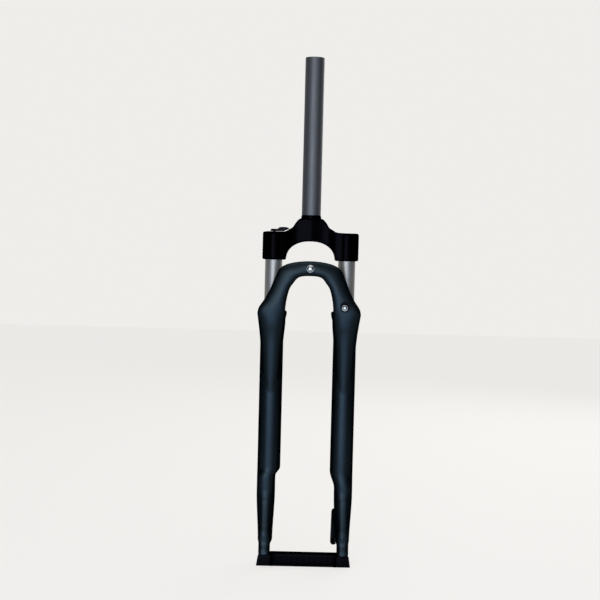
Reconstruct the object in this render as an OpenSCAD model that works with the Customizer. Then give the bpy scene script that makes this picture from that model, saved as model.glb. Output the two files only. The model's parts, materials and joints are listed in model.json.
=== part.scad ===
// Suspension fork for a 28 inch bicycle wheel, disc brake only.
// Origin: centre of the crown race seat, on the steering axis. +Z runs up the steerer,
// -Y points forwards and +X is the rider's left. Millimetres.

/* [Steerer] */
// Outer diameter of the steerer tube
steerer_d = 28.6; // [28:0.1:30]
// Wall of the steerer tube
steerer_wall = 2.3; // [1.5:0.1:3.5]
// Length of the steerer above the crown race seat
steerer_length = 240; // [150:5:300]
// Diameter of the seat that takes the lower headset race
race_seat_d = 30; // [29.6:0.1:31.5]
// Height of that seat
race_seat_h = 4; // [3:0.5:8]

/* [Fork] */
// Height of the crown race seat above the wheel axle
axle_to_crown = 500; // [485:5:535]
// Distance of the wheel axle in front of the steering axis
axle_offset = 44; // [38:1:50]
// Suspension travel
travel = 63; // [50:1:70]
// Distance between the two stanchion axes
leg_spacing = 109; // [104:1:114]
// Gap between the inner faces of the dropouts
hub_width = 100; // [96:1:102]

/* [Crown] */
// Distance of the stanchion axes in front of the steering axis
crown_offset = 14; // [11:0.5:17]
// Outer diameter of a crown boss
boss_d = 34; // [31:0.5:36]
// Height of a crown boss
boss_h = 41; // [34:1:46]
// Drop from the race seat to the top of a boss
boss_drop = 20.5; // [19:0.5:24]
// Thickness of the crown under the race seat
crown_core_h = 33.5; // [30:0.5:36]
// Radius on the rims of the bosses
boss_round = 2; // [1:0.25:3]

/* [Stanchions] */
// Outer diameter of a stanchion
stanchion_d = 25.4; // [24.8:0.1:26]
// Wall of a stanchion
stanchion_wall = 1.6; // [1.4:0.1:2]

/* [Lowers] */
// Outer diameter of a leg below its seal collar
leg_d = 34; // [33:0.5:36]
// Outer diameter of the seal collar at the top of a leg
collar_d = 43; // [39:0.5:44]
// Length of the flare between the collar and the leg
collar_h = 26; // [20:1:34]
// Height above the axle where the stanchion bore ends
bore_floor = 130; // [120:1:145]
// Height of the foot of a leg above the axle
foot_h = 19; // [17:1:28]
// Rise of the arch above the tops of the legs
arch_rise = 75.5; // [70:0.5:80]
// Height of the arch band at its crown
arch_band = 22; // [16:0.5:24]
// Depth of the arch from front to back
arch_depth = 14; // [12:0.5:15]
// Gap between the back of the arch and a crown boss
arch_gap = 2.5; // [2:0.25:4]
// Width of a dropout
dropout_w = 16.5; // [14:0.5:18]
// Width of the axle slot
slot_w = 9.4; // [9:0.1:10]
// Wall left beside the quick release recess
dropout_wall = 7.5; // [6:0.5:9]
// Distance between the two holes of the disc brake tab
tab_pitch = 51; // [48:0.5:54]
// Diameter of those holes
tab_hole_d = 6; // [5:0.1:6.6]
// Thickness of the disc brake tab
tab_t = 9; // [7:0.5:10]

/* [Springs and damper] */
// Wire diameter of the main spring
spring_wire = 3.4; // [2.6:0.1:4]
// Turns of the main spring
spring_turns = 14; // [10:1:16]
// Diameter of the spring rod
spring_rod_d = 10; // [8:0.5:10.5]
// Diameter of the damper rod
damper_rod_d = 8; // [7:0.5:10]
// Outer diameter of the damper cartridge
cartridge_d = 20; // [18:0.5:21]
// Length of the bump stop
bump_stop_h = 110; // [60:5:120]

/* [Fits] */
// Radial clearance of a pressed or screwed fit
fixed_gap = 0.02; // [0.01:0.01:0.05]
// Radial clearance of a sliding or turning fit
slide_gap = 0.05; // [0.02:0.01:0.1]

/* [Transport spacer] */
// Height of the spacer bar
spacer_h = 18.5; // [16:0.5:26]
// Depth of the spacer bar
spacer_depth = 18; // [14:1:22]

/* [Hidden] */
$fn = 64;

// Sides of the fork: +1 is the rider's left, which holds the spring
LEFT = 1;
RIGHT = -1;
leg_x = leg_spacing / 2;
leg_y = -crown_offset;

// Radii that fit one another, from the stanchion outwards and inwards
stanchion_r = stanchion_d / 2;
stanchion_bore_r = stanchion_r - stanchion_wall;
bushing_wall = 1.4;
bushing_seat_r = stanchion_r + bushing_wall;
leg_r = leg_d / 2;
collar_r = collar_d / 2;
boss_r = boss_d / 2;
seal_seat_r = collar_r - 4;

// Heights, from the race seat at zero down to the axle
axle_z = -axle_to_crown;
boss_top = -boss_drop;
boss_bottom = boss_top - boss_h;
seal_h = 5.5;
foot_floor_t = 9;
rod_thread_h = 14;
seal_sunk = 4;
bottom_clear = 5;
leg_top = boss_bottom - seal_h - travel - bottom_clear - 3;
bore_floor_z = axle_z + bore_floor;
foot_z = axle_z + foot_h;
foot_floor_z = foot_z + foot_floor_t;
stanchion_bottom = bore_floor_z + travel + bottom_clear;
stanchion_top = boss_top - 4;

// The foot bolts leave a wall of 1 mm or more in the end of each rod
function foot_bolt_r(side) = (side == LEFT ? spring_rod_d : damper_rod_d) / 2 - 1;

// Sections of the lofted casting
loft_sides = 20;
arch_sides = 16;
arch_steps = 2;

// Closed solid through a list of rings with the same number of points
module loft(rings) {
    n = len(rings[0]);
    last = len(rings) - 1;
    pts = [for (r = rings) for (p = r) p];
    walls = [for (i = [0 : last - 1], j = [0 : n - 1], half = [0, 1])
             let (a = i * n + j, b = i * n + (j + 1) % n)
             half == 0 ? [a, a + n, b + n] : [a, b + n, b]];
    polyhedron(points = pts,
               faces = concat([[for (j = [0 : n - 1]) j]], walls,
                              [[for (j = [n - 1 : -1 : 0]) last * n + j]]));
}

// One coordinate of a superellipse: a circle at power 2, squarer above it
function super(c, power) = sign(c) * pow(abs(c), 2 / power);

// Smooth step from 0 to 1 as v goes from a to b
function ease(v, a, b) = let (t = min(1, max(0, (v - a) / (b - a)))) t * t * (3 - 2 * t);

// Point on the smooth curve through p1 and p2, with p0 and p3 beside them
function spline(p0, p1, p2, p3, t) =
    0.5 * (2 * p1 + (p2 - p0) * t + (2 * p0 - 5 * p1 + 4 * p2 - p3) * t * t
           + (3 * p1 - p0 - 3 * p2 + p3) * t * t * t);

// Points of a smooth curve through a list, with n steps between neighbours
function smooth(list, n) =
    let (m = len(list) - 1)
    [for (i = [0 : m - 1], k = [0 : n - 1 + (i == m - 1 ? 1 : 0)])
        spline(list[max(0, i - 1)], list[i], list[i + 1], list[min(m, i + 2)], k / n)];

// Arc of a circle in the plane, from angle a0 to a1
function arc(cx, cy, r, a0, a1, n = 12) =
    [for (i = [0 : n]) let (a = a0 + (a1 - a0) * i / n) [cx + r * cos(a), cy + r * sin(a)]];

module bar(r, z0, z1) { translate([0, 0, z0]) cylinder(r = r, h = z1 - z0); }

module tube(r_out, r_in, z0, z1) {
    difference() {
        bar(r_out, z0, z1);
        bar(r_in, z0 - 1, z1 + 1);
    }
}

module at_leg(side) { translate([side * leg_x, leg_y, 0]) children(); }

// Steerer: its root is pressed into the crown, up to the collar of the crown race seat

module steerer_tube() color([0.42, 0.44, 0.46]) {
    difference() {
        union() {
            bar(steerer_d / 2, -crown_core_h, steerer_length);
            bar(race_seat_d / 2, 0, race_seat_h);
        }
        bar(steerer_d / 2 - steerer_wall, -crown_core_h - 1, steerer_length + 1);
    }
}

// Crown

hub_r = race_seat_d / 2 + 8;
arm_top = boss_top + 1.5;
arch_half = leg_x - boss_r - 1;
blank_reach = hub_r + boss_r + crown_offset;

// Front outline of the crown without its bosses: arms, hump and the arch under them
module crown_front() {
    under = [for (i = [0 : 24]) let (a = 180 - 180 * i / 24)
             [arch_half * super(cos(a), 2.2),
              boss_bottom + (boss_h + boss_drop - crown_core_h) * super(sin(a), 2.2)]];
    half = concat([[leg_x, boss_top], [leg_x - boss_r + 3, boss_top + 0.5]],
                  smooth([[leg_x - boss_r - 1.5, arm_top], [hub_r + 10.5, arm_top + 2],
                          [hub_r + 4, arm_top + 6], [hub_r + 1, arm_top + 11],
                          [hub_r - 1.6, -4.5]], 3),
                  [[hub_r - 5, -0.8], [hub_r - 6, 0]]);
    n = len(half);
    polygon(concat([[-leg_x, boss_bottom]], [for (p = half) [-p[0], p[1]]],
                   [for (i = [n - 1 : -1 : 0]) half[i]], [[leg_x, boss_bottom]],
                   [for (i = [24 : -1 : 0]) under[i]]));
}

// Plan of the crown: a waist on each arm between the boss and the steerer
module crown_plan() {
    front = smooth([[0, leg_y - boss_r + 7], [hub_r, leg_y - boss_r + 8],
                    [leg_x - boss_r, leg_y - boss_r + 3.5], [leg_x, leg_y - boss_r + 1]], 5);
    back = smooth([[leg_x, leg_y + boss_r - 1], [hub_r + 8, leg_y + boss_r - 1],
                   [hub_r * 0.75, hub_r - 4], [0, hub_r + 1]], 5);
    half = concat(front, back);
    n = len(half);
    polygon(concat(half, [for (i = [n - 2 : -1 : 1]) [-half[i][0], half[i][1]]]));
}

module boss_form() {
    rotate_extrude()
        polygon(concat([[0, boss_bottom]],
                       arc(boss_r - 1, boss_bottom + 1, 1, -90, 0, 4),
                       arc(boss_r - boss_round, boss_top - boss_round, boss_round, 0, 90, 8),
                       [[0, boss_top]]));
}

module crown() color([0.03, 0.03, 0.035]) {
    difference() {
        union() {
            intersection() {
                translate([0, blank_reach, 0]) rotate([90, 0, 0])
                    linear_extrude(2 * blank_reach) crown_front();
                translate([0, 0, boss_bottom - 1])
                    linear_extrude(boss_h + boss_drop + 2) crown_plan();
            }
            for (side = [LEFT, RIGHT]) at_leg(side) boss_form();
            rotate_extrude()
                polygon([[0, -crown_core_h + 4], [hub_r + 1, -crown_core_h + 4],
                         [hub_r + 1, -9], [hub_r - 0.6, -6], [hub_r - 2.5, -3],
                         [hub_r - 5, -0.8], [hub_r - 6, 0], [0, 0]]);
        }
        bar(steerer_d / 2 + fixed_gap, boss_bottom - 1, 1);
        for (side = [LEFT, RIGHT]) at_leg(side)
            bar(stanchion_r + fixed_gap, boss_bottom - 1, boss_top + 1);
    }
}

// Stanchions

module stanchion(side) {
    at_leg(side) tube(stanchion_r, stanchion_bore_r, stanchion_bottom, stanchion_top);
}
module stanchion_left() color([0.75, 0.75, 0.76]) stanchion(LEFT);
module stanchion_right() color([0.75, 0.75, 0.76]) stanchion(RIGHT);

// Top caps: a flange on the stanchion and a threaded skirt inside it

cap_skirt_h = 12;
cap_hole_r = 8;
nut_h = 12;
nut_stroke = 7;
stem_r = 4;
dial_top = boss_top + 0.3;
dial_h = 4;
nut_top = stanchion_top - cap_skirt_h - 2;
spring_top = nut_top - nut_h;

module top_cap(hole_r, flange_top) {
    difference() {
        union() {
            bar(stanchion_r - fixed_gap, stanchion_top, flange_top);
            bar(stanchion_bore_r - fixed_gap, stanchion_top - cap_skirt_h, stanchion_top + 1);
        }
        bar(hole_r, stanchion_top - cap_skirt_h - 1, flange_top + 1);
    }
}

module spring_top_cap() color([0.06, 0.06, 0.065]) {
    at_leg(LEFT) difference() {
        top_cap(stem_r + slide_gap, boss_top);
        bar(cap_hole_r + 2.5 + slide_gap, dial_top - dial_h, boss_top + 1);
    }
}

module preload_dial() color([0.09, 0.09, 0.095]) {
    at_leg(LEFT) difference() {
        union() {
            bar(cap_hole_r + 2.5, dial_top - dial_h + 0.02, dial_top);
            bar(stem_r, spring_top - nut_stroke, dial_top - dial_h + 1);
        }
        translate([0, 0, dial_top]) cube([14, 2.2, 3.6], center = true);
    }
}

module preload_nut() color([0.75, 0.74, 0.7]) {
    at_leg(LEFT) tube(stanchion_bore_r - slide_gap, stem_r + slide_gap, spring_top, nut_top);
}

// Springs: wire swept along a helix, its end turns closed up

function coil_lift(t, turns, wire, h) =
    t < 1 ? wire * t * 1.02 :
    t > turns - 1 ? h - wire - wire * (turns - t) * 1.02 :
    wire * 1.02 + (t - 1) * (h - wire - 2.04 * wire) / (turns - 2);

module coil(mean_r, wire, turns, z0, z1, steps, sides) {
    n = turns * steps;
    h = z1 - z0;
    loft([for (i = [0 : n])
          let (t = i / steps, a = 360 * t, c = [cos(a), sin(a)],
               z = z0 + wire / 2 + coil_lift(t, turns, wire, h))
          [for (j = [sides - 1 : -1 : 0])
              let (b = 360 * (j + 0.5) / sides,
                   r = mean_r + wire / 2 * cos(b))
              [c[0] * r, c[1] * r, z + wire / 2 * sin(b)]]]);
}

spring_seat_h = 8;
top_out_h = 15;
guide_h = 10;
guide_top = stanchion_bottom + guide_h;
seat_bottom = guide_top + top_out_h;
seat_top = seat_bottom + spring_seat_h;

module main_spring() color([0.35, 0.36, 0.38]) {
    at_leg(LEFT) coil(stanchion_bore_r - 1 - spring_wire / 2, spring_wire, spring_turns,
                      seat_top, spring_top, 14, 6);
}

module bump_stop() color([0.85, 0.75, 0.3]) {
    at_leg(LEFT) bar(stanchion_bore_r - 2 - spring_wire - 0.6, seat_top, seat_top + bump_stop_h);
}

module spring_seat() color([0.8, 0.8, 0.78]) {
    at_leg(LEFT) bar(stanchion_bore_r - slide_gap, seat_bottom, seat_top);
}

module spring_rod() color([0.7, 0.71, 0.72]) {
    at_leg(LEFT) difference() {
        bar(spring_rod_d / 2, foot_floor_z, seat_bottom);
        bar(foot_bolt_r(LEFT) + fixed_gap, foot_floor_z - 1, foot_floor_z + rod_thread_h + 2);
    }
}

module top_out_spring() color([0.45, 0.46, 0.48]) {
    at_leg(LEFT) coil(spring_rod_d / 2 + 1.6, 2, 4, guide_top, seat_bottom, 12, 6);
}

module rod_guide() color([0.8, 0.8, 0.78]) {
    at_leg(LEFT) tube(stanchion_bore_r - fixed_gap, spring_rod_d / 2 + slide_gap,
                      stanchion_bottom, guide_top);
}

// Lockout and damper

spindle_r = 2.5;
lever_bottom = boss_top + 1;
lever_hub_top = boss_top + 4.5;
lever_top = boss_top + 7.5;
lever_r = 6;
lever_reach = 22;
lever_w = 10;
screw_head_h = 1.6;
screw_floor = lever_hub_top - screw_head_h;
spindle_top = screw_floor - 0.5;
cartridge_r = cartridge_d / 2;
cartridge_bore_r = cartridge_r - 1.6;
cartridge_top = stanchion_top - cap_skirt_h;
cartridge_bottom = stanchion_bottom + 55;
valve_h = 14;
valve_top = cartridge_top - 12;
piston_h = 12;
head_h = 10;

module damper_top_cap() color([0.06, 0.06, 0.065]) {
    at_leg(RIGHT) top_cap(spindle_r + slide_gap, boss_top + 0.7);
}

// The paddle rises towards its tip, clear of the slope of the crown under it
module lockout_lever() color([0.07, 0.07, 0.08]) {
    at_leg(RIGHT) difference() {
        union() {
            rotate_extrude()
                polygon(concat([[0, lever_bottom], [lever_r, lever_bottom]],
                               arc(lever_r - 2.5, lever_hub_top - 2.5, 2.5, 0, 90, 6),
                               [[0, lever_hub_top]]));
            intersection() {
                translate([0, lever_w / 2, 0]) rotate([90, 0, 0]) linear_extrude(lever_w)
                    polygon(concat([[0, lever_bottom], [lever_reach * 0.6, lever_bottom],
                                    [lever_reach - 3, lever_bottom + 2.4]],
                                   smooth([[lever_reach, lever_bottom + 4.2],
                                           [lever_reach - 2, lever_top - 0.7],
                                           [lever_reach * 0.6, lever_top],
                                           [lever_r + 1, lever_top - 0.9],
                                           [lever_r - 2, lever_hub_top - 1]], 4),
                                   [[0, lever_hub_top - 1]]));
                translate([0, 0, lever_bottom]) linear_extrude(lever_top - lever_bottom + 1)
                    polygon(concat([[0, lever_w / 2]], [[0, -lever_w / 2]],
                                   arc(lever_reach - lever_w / 2, 0, lever_w / 2, -90, 90, 12)));
            }
        }
        bar(spindle_r + fixed_gap, lever_bottom - 1, spindle_top);
        bar(1.5 + fixed_gap, lever_bottom, lever_top + 1);
        bar(3.2, screw_floor, lever_top + 1);
    }
}

module lockout_lever_screw() color([0.7, 0.7, 0.72]) {
    at_leg(RIGHT) difference() {
        union() {
            bar(2.9, screw_floor, lever_hub_top - 0.1);
            bar(1.5, lever_hub_top - 9, screw_floor + 0.5);
        }
        translate([0, 0, lever_hub_top - 1.2]) cylinder(r = 1.2, h = 2, $fn = 6);
    }
}

module lockout_spindle() color([0.72, 0.73, 0.75]) {
    at_leg(RIGHT) difference() {
        union() {
            bar(spindle_r, valve_top + 0.3, spindle_top);
            bar(spindle_r + 2, valve_top + 0.3, valve_top + 3);
        }
        bar(1.5 + fixed_gap, lever_hub_top - 9.5, lever_hub_top);
    }
}

module compression_valve() color([0.78, 0.68, 0.4]) {
    at_leg(RIGHT) difference() {
        bar(cartridge_bore_r - fixed_gap, valve_top - valve_h, valve_top);
        for (a = [0 : 90 : 270]) rotate(a)
            translate([cartridge_bore_r * 0.6, 0, valve_top - valve_h - 1])
                cylinder(r = 1.2, h = valve_h + 2, $fn = 24);
    }
}

module damper_cartridge() color([0.6, 0.61, 0.63]) {
    at_leg(RIGHT) tube(cartridge_r, cartridge_bore_r, cartridge_bottom, cartridge_top);
}

module damper_seal_head() color([0.2, 0.2, 0.22]) {
    at_leg(RIGHT) tube(cartridge_bore_r - fixed_gap, damper_rod_d / 2 + slide_gap,
                       cartridge_bottom, cartridge_bottom + head_h);
}

piston_bottom = cartridge_bottom + head_h + 8;

module damper_piston() color([0.78, 0.68, 0.4]) {
    at_leg(RIGHT) tube(cartridge_bore_r - slide_gap, damper_rod_d / 2 + fixed_gap - 1,
                       piston_bottom, piston_bottom + piston_h);
}

module damper_rod() color([0.75, 0.76, 0.77]) {
    at_leg(RIGHT) difference() {
        union() {
            bar(damper_rod_d / 2, foot_floor_z, piston_bottom);
            bar(damper_rod_d / 2 - 1, piston_bottom - 1, piston_bottom + piston_h + 3);
        }
        bar(foot_bolt_r(RIGHT) + fixed_gap, foot_floor_z - 1, foot_floor_z + rod_thread_h + 2);
    }
}

// Lowers

// Section of a leg at a height above the axle: inner, outer, front and back edges.
// The leg is round at its collar and along the stanchion. Below the bore it narrows on
// the inner side, and the foot reaches forwards to the dropout.
function leg_ring(h, side) =
    let (top_h = leg_top - axle_z,
         r = leg_r + (collar_r - leg_r) * ease(h, top_h - collar_h, top_h),
         narrow = side == LEFT ? 1 - ease(h, bore_floor - 33, bore_floor - 7)
                               : 1 - ease(h, bore_floor - 15, bore_floor - 4),
         foot = 1 - ease(h, foot_h, bore_floor - 40),
         inner = leg_x - r + 7 * narrow + 2.5 * foot,
         outer = leg_x + r - 3.5 * foot,
         front = leg_y - r - 2 * narrow - 7 * foot,
         back = leg_y + r - 3.5 * narrow - 5.5 * foot)
    [for (j = [0 : loft_sides - 1])
        let (a = 360 * j / loft_sides, p = 2 + 0.35 * narrow)
        [(inner + outer) / 2 + (outer - inner) / 2 * super(cos(a), p),
         (front + back) / 2 + (back - front) / 2 * super(sin(a), p),
         axle_z + h]];

leg_heights = concat([foot_h, 34, 46, 60, 78],
                     [for (i = [0 : 6]) bore_floor - 34 + 5 * i],
                     [leg_top - axle_z - collar_h - 60],
                     [for (i = [0 : 4]) leg_top - axle_z - collar_h * (1 - i / 4)]);

// Rings of the arch, from its root in a leg to the middle of its crown. Each ring spans
// an outer and an inner edge point in the front view, measured from the leg axis and
// the top of the leg.
arch_y = leg_y - boss_r - arch_gap - arch_depth / 2;
arch_edges = [
    [[12, -82], [-12, -82], 10, -21], [[17, -45], [-17, -45], 12, -12],
    [[20, -18], [-19.5, -18], arch_depth / 2 + 3, -5], [[21.5, 2], [-19.3, 4], arch_depth / 2, 0],
    [[11.5, 19], [-21, 20], arch_depth / 2, 0], [[3.8, 34], [-25, 35], arch_depth / 2, 0]];

function arch_half_stations() =
    concat([for (e = arch_edges)
               [leg_x + e[0][0], leg_top + e[0][1], leg_x + e[1][0], leg_top + e[1][1], e[2],
                arch_y - e[3]]],
           [[leg_x - 3.6, leg_top + arch_rise - 23, leg_x - 30, leg_top + arch_rise - 33,
             arch_depth / 2, arch_y],
            [leg_x - 10.5, leg_top + arch_rise - 10.5, leg_x - 36,
             leg_top + arch_rise - arch_band - 3.5, arch_depth / 2, arch_y - 0.4],
            [leg_x - 27, leg_top + arch_rise - 3, leg_x - 43,
             leg_top + arch_rise - arch_band - 0.6, arch_depth / 2, arch_y - 0.8],
            [0, leg_top + arch_rise, 0, leg_top + arch_rise - arch_band, arch_depth / 2,
             arch_y - 1]]);

function arch_stations() =
    let (h = arch_half_stations(), n = len(h))
    concat(h, [for (i = [n - 2 : -1 : 0])
               [-h[i][0], h[i][1], -h[i][2], h[i][3], h[i][4], h[i][5]]]);

function arch_ring(s) =
    let (mid = [(s[0] + s[2]) / 2, (s[1] + s[3]) / 2],
         half = [(s[0] - s[2]) / 2, (s[1] - s[3]) / 2])
    [for (j = [0 : arch_sides - 1])
        let (a = 360 * (j + 0.5) / arch_sides, u = super(cos(a), 2.6), v = super(sin(a), 2.6))
        [mid[0] + half[0] * u, s[5] + s[4] * v, mid[1] + half[1] * u]];

// Side outline of a dropout, in forward-back and height from the axle
dropout_r = 15;
dropout_bottom = -11.5;
dropout_heel = [190, 230];
slot_lean = 20;
slot_run = [5, -30];
recess_r = 10.5;
rod_well_r = 6.3;
rod_well_h = 30;
rod_bore_r = 5.4;
foot_bolt_head_r = 7.2;
leg_back = axle_offset - crown_offset;
module dropout_side() {
    polygon(concat(
        smooth([[leg_back - 8, bore_floor - 28], [leg_back - 16, bore_floor - 48],
                [leg_back - 31, 57], [-9, 39], [-10, 31], [-7, 22], [-10, 14],
                [-14.5, 7], [-dropout_r, 0]], 4),
        arc(0, 0, dropout_r, dropout_heel[0], dropout_heel[1], 5),
        smooth([[9, dropout_bottom], [13, -4], [leg_back - 8, foot_h - 6],
                [leg_back, foot_h + 1]], 3),
        [[leg_back + 4, foot_h + 20], [leg_back + 2, bore_floor - 28]]));
}

// Extrudes a side outline across the fork, from x0 to x1, around the axle
module side_plate(x0, x1) {
    translate([x0, -axle_offset, axle_z]) rotate([90, 0, 90]) linear_extrude(x1 - x0) children();
}

// Middle of the disc brake tab's hole pair, behind and above the axle, and the slope of
// that pair, which lies on a circle around the axle
tab_mid = [leg_back + 33, 30];
tab_slope = 115;
tab_r = 7.5;
tab_wrap = 145;
tab_inner_x = hub_width / 2 - 7.5;
function tab_hole(k) = tab_mid + k * tab_pitch / 2 * [cos(tab_slope), sin(tab_slope)];

module tab_side() {
    low = tab_hole(-1);
    high = tab_hole(1);
    polygon(concat(arc(low[0], low[1], tab_r, tab_slope - 90 - tab_wrap, tab_slope - 90, 12),
                   arc(high[0], high[1], tab_r, tab_slope - 90, tab_slope - 30, 6),
                   [[leg_back + 7, high[1] + 7], [leg_back - 6, high[1] + 2],
                    [leg_back - 8, high[1] - 12], [leg_back - 6, foot_h + 4],
                    [leg_back + 6, foot_h - 1]]));
}

module lowers() color([0.05, 0.05, 0.055]) {
    difference() {
        union() {
            for (side = [0, 1]) mirror([side, 0, 0]) {
                loft([for (h = leg_heights) leg_ring(h, side == 0 ? LEFT : RIGHT)]);
                side_plate(hub_width / 2, hub_width / 2 + dropout_w) dropout_side();
            }
            loft([for (s = smooth(arch_stations(), arch_steps)) arch_ring(s)]);
            side_plate(tab_inner_x, tab_inner_x + tab_t) tab_side();
        }
        for (side = [LEFT, RIGHT]) at_leg(side) {
            bar(bushing_seat_r + fixed_gap, bore_floor_z, leg_top + 1);
            bar(seal_seat_r + fixed_gap, leg_top - seal_sunk, leg_top + 1);
            bar(rod_well_r, bore_floor_z - rod_well_h, bore_floor_z + 1);
            bar(rod_bore_r, foot_floor_z, bore_floor_z);
            bar(foot_bolt_r(side) + 0.2, foot_z - 1, foot_floor_z + 1);
            bar(foot_bolt_head_r, foot_z - foot_h, foot_z);
        }
        for (side = [0, 1]) mirror([side, 0, 0]) {
            side_plate(hub_width / 2 - 1, hub_width / 2 + dropout_w + 1)
                polygon(concat(arc(0, 0, slot_w / 2, 180 + slot_lean, slot_lean, 14),
                               [slot_run + [slot_w / 2, 0], slot_run - [slot_w / 2, 0]]));
            side_plate(hub_width / 2 + dropout_wall, hub_width / 2 + dropout_w + 1)
                polygon(concat(arc(0, 0, recess_r, 180 + slot_lean, 0, 18),
                               [[recess_r + 2.5, slot_run[1]], [2.5 - recess_r, slot_run[1]]]));
        }
        for (k = [-1, 1])
            translate([tab_inner_x - 1, tab_hole(k)[0] - axle_offset, axle_z + tab_hole(k)[1]])
                rotate([0, 90, 0]) cylinder(d = tab_hole_d, h = tab_t + 2);
        translate([0, arch_y + arch_depth, arch_screw_z]) rotate([90, 0, 0])
            cylinder(r = arch_screw_r + fixed_gap, h = 2 * arch_depth + 2);
        translate([guide_x, 0, guide_z]) rotate([90, 0, 0])
            cylinder(r = guide_screw_r + fixed_gap, h = 80);
    }
}

// Seals, bushings and foot fasteners

module dust_seal(side) {
    lip = 0.6;
    at_leg(side) rotate_extrude()
        polygon([[stanchion_r + slide_gap, leg_top - seal_sunk],
                 [seal_seat_r - fixed_gap, leg_top - seal_sunk],
                 [seal_seat_r - fixed_gap, leg_top], [seal_seat_r - 0.6, leg_top + 0.6],
                 [seal_seat_r - 0.6, leg_top + 2], [stanchion_r + 1.2, leg_top + seal_h],
                 [stanchion_r + slide_gap, leg_top + seal_h],
                 [stanchion_r + slide_gap, leg_top + seal_h - 1.5],
                 [stanchion_r + lip, leg_top + seal_h - 2.5], [stanchion_r + lip, leg_top],
                 [stanchion_r + slide_gap, leg_top - 1]]);
}
module dust_seal_left() color([0.08, 0.08, 0.08]) dust_seal(LEFT);
module dust_seal_right() color([0.08, 0.08, 0.08]) dust_seal(RIGHT);

bushing_h = 22;
module bushing(side, z0) {
    at_leg(side) tube(bushing_seat_r, stanchion_r + slide_gap, z0, z0 + bushing_h);
}
upper_bushing_z = leg_top - seal_sunk - 6 - bushing_h;
lower_bushing_z = stanchion_bottom + 6;
module upper_bushing_left() color([0.55, 0.5, 0.4]) bushing(LEFT, upper_bushing_z);
module upper_bushing_right() color([0.55, 0.5, 0.4]) bushing(RIGHT, upper_bushing_z);
module lower_bushing_left() color([0.55, 0.5, 0.4]) bushing(LEFT, lower_bushing_z);
module lower_bushing_right() color([0.55, 0.5, 0.4]) bushing(RIGHT, lower_bushing_z);

washer_h = 1.5;
module foot_washers() color([0.75, 0.75, 0.76]) {
    for (side = [LEFT, RIGHT]) at_leg(side)
        tube(6.8, foot_bolt_r(side) + 0.2, foot_z - washer_h, foot_z);
}

module foot_bolts() color([0.7, 0.7, 0.72]) {
    for (side = [LEFT, RIGHT]) at_leg(side) difference() {
        union() {
            bar(6, foot_z - washer_h - 6, foot_z - washer_h);
            bar(foot_bolt_r(side), foot_z - washer_h - 1, foot_floor_z + rod_thread_h);
        }
        translate([0, 0, foot_z - washer_h - 7]) cylinder(r = 3, h = 5, $fn = 6);
    }
}

// Small pieces on the arch

arch_front_y = arch_y - 1 - arch_depth / 2;
arch_screw_z = leg_top + arch_rise - arch_band / 2;
arch_screw_r = 2.5;
module arch_screw() color([0.8, 0.8, 0.82]) {
    translate([0, arch_front_y, arch_screw_z]) rotate([90, 0, 0]) difference() {
        union() {
            translate([0, 0, -arch_depth - 2]) cylinder(r = arch_screw_r, h = arch_depth + 3);
            rotate_extrude() polygon(concat([[0, 0.2], [6, 0.2]],
                                            arc(2.5, 0.9, 3.5, 0, 90, 8), [[0, 4.4]]));
        }
        translate([0, 0, 2.4]) cylinder(r = 2, h = 4, $fn = 6);
    }
}

guide_x = leg_x - 2.4;
guide_z = leg_top + 8;
guide_screw_r = 2.5;
guide_base_r = 6.5;
hook_r = [6, 8.5];
hook_arc = [20, 150];
guide_y = arch_y - arch_depth / 2;
module hose_guide() color([0.05, 0.05, 0.055]) {
    translate([guide_x, guide_y, guide_z]) rotate([90, 0, 0]) difference() {
        union() {
            translate([0, 0, 0.3]) cylinder(r = guide_base_r, h = 2.5);
            translate([0, 0, 0.3]) linear_extrude(6)
                polygon(concat(arc(0, 0, hook_r[1], hook_arc[0], hook_arc[1], 12),
                               arc(0, 0, hook_r[0], hook_arc[1], hook_arc[0], 12)));
        }
        translate([0, 0, -1]) cylinder(r = guide_screw_r + fixed_gap, h = 6);
    }
}

module hose_guide_screw() color([0.8, 0.8, 0.82]) {
    translate([guide_x, guide_y, guide_z]) rotate([90, 0, 0]) difference() {
        union() {
            translate([0, 0, -9]) cylinder(r = guide_screw_r, h = 12);
            rotate_extrude() polygon(concat([[0, 2.82], [4.8, 2.82]],
                                            arc(2.3, 3.2, 2.5, 0, 90, 6), [[0, 5.7]]));
        }
        translate([0, 0, 4]) cylinder(r = 1.7, h = 4, $fn = 6);
    }
}

// Transport spacer, pushed into the axle slots

spacer_lip = 3;
spacer_top = axle_z + 3.5;
spacer_wall = 3;
module dropout_spacer() color([0.04, 0.04, 0.042]) {
    in_x = hub_width / 2 - 0.02;
    out_x = hub_width / 2 + dropout_w + 3;
    front = -axle_offset - dropout_r - 0.4;
    bar_bottom = spacer_top - spacer_h;
    block_bottom = bar_bottom + 2.4;
    difference() {
        union() {
            translate([-in_x, -axle_offset - spacer_depth / 2, bar_bottom])
                cube([2 * in_x, spacer_depth, spacer_h]);
            for (side = [0, 1]) mirror([side, 0, 0]) {
                translate([in_x - 0.5, -axle_offset, axle_z]) rotate([0, 90, 0])
                    cylinder(r = slot_w / 2 - 0.2, h = dropout_wall + 4);
                translate([hub_width / 2 + dropout_wall + 0.05, -axle_offset, axle_z])
                    rotate([0, 90, 0]) cylinder(r = 9.6, h = 3);
                translate([0, front, 0]) rotate([90, 0, 0]) linear_extrude(spacer_lip)
                    polygon([[in_x - 6, spacer_top], [out_x - 2.5, spacer_top],
                             [out_x, block_bottom], [in_x - 6, block_bottom]]);
                translate([in_x - 6, front - spacer_lip, block_bottom])
                    cube([5.9, 12, spacer_top - block_bottom]);
            }
        }
        for (side = [1, -1])
            translate([-in_x + 6, -axle_offset + side * spacer_depth / 2 - 6,
                       bar_bottom + spacer_wall])
                cube([2 * in_x - 12, 12, spacer_h - 2 * spacer_wall]);
    }
}

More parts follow.
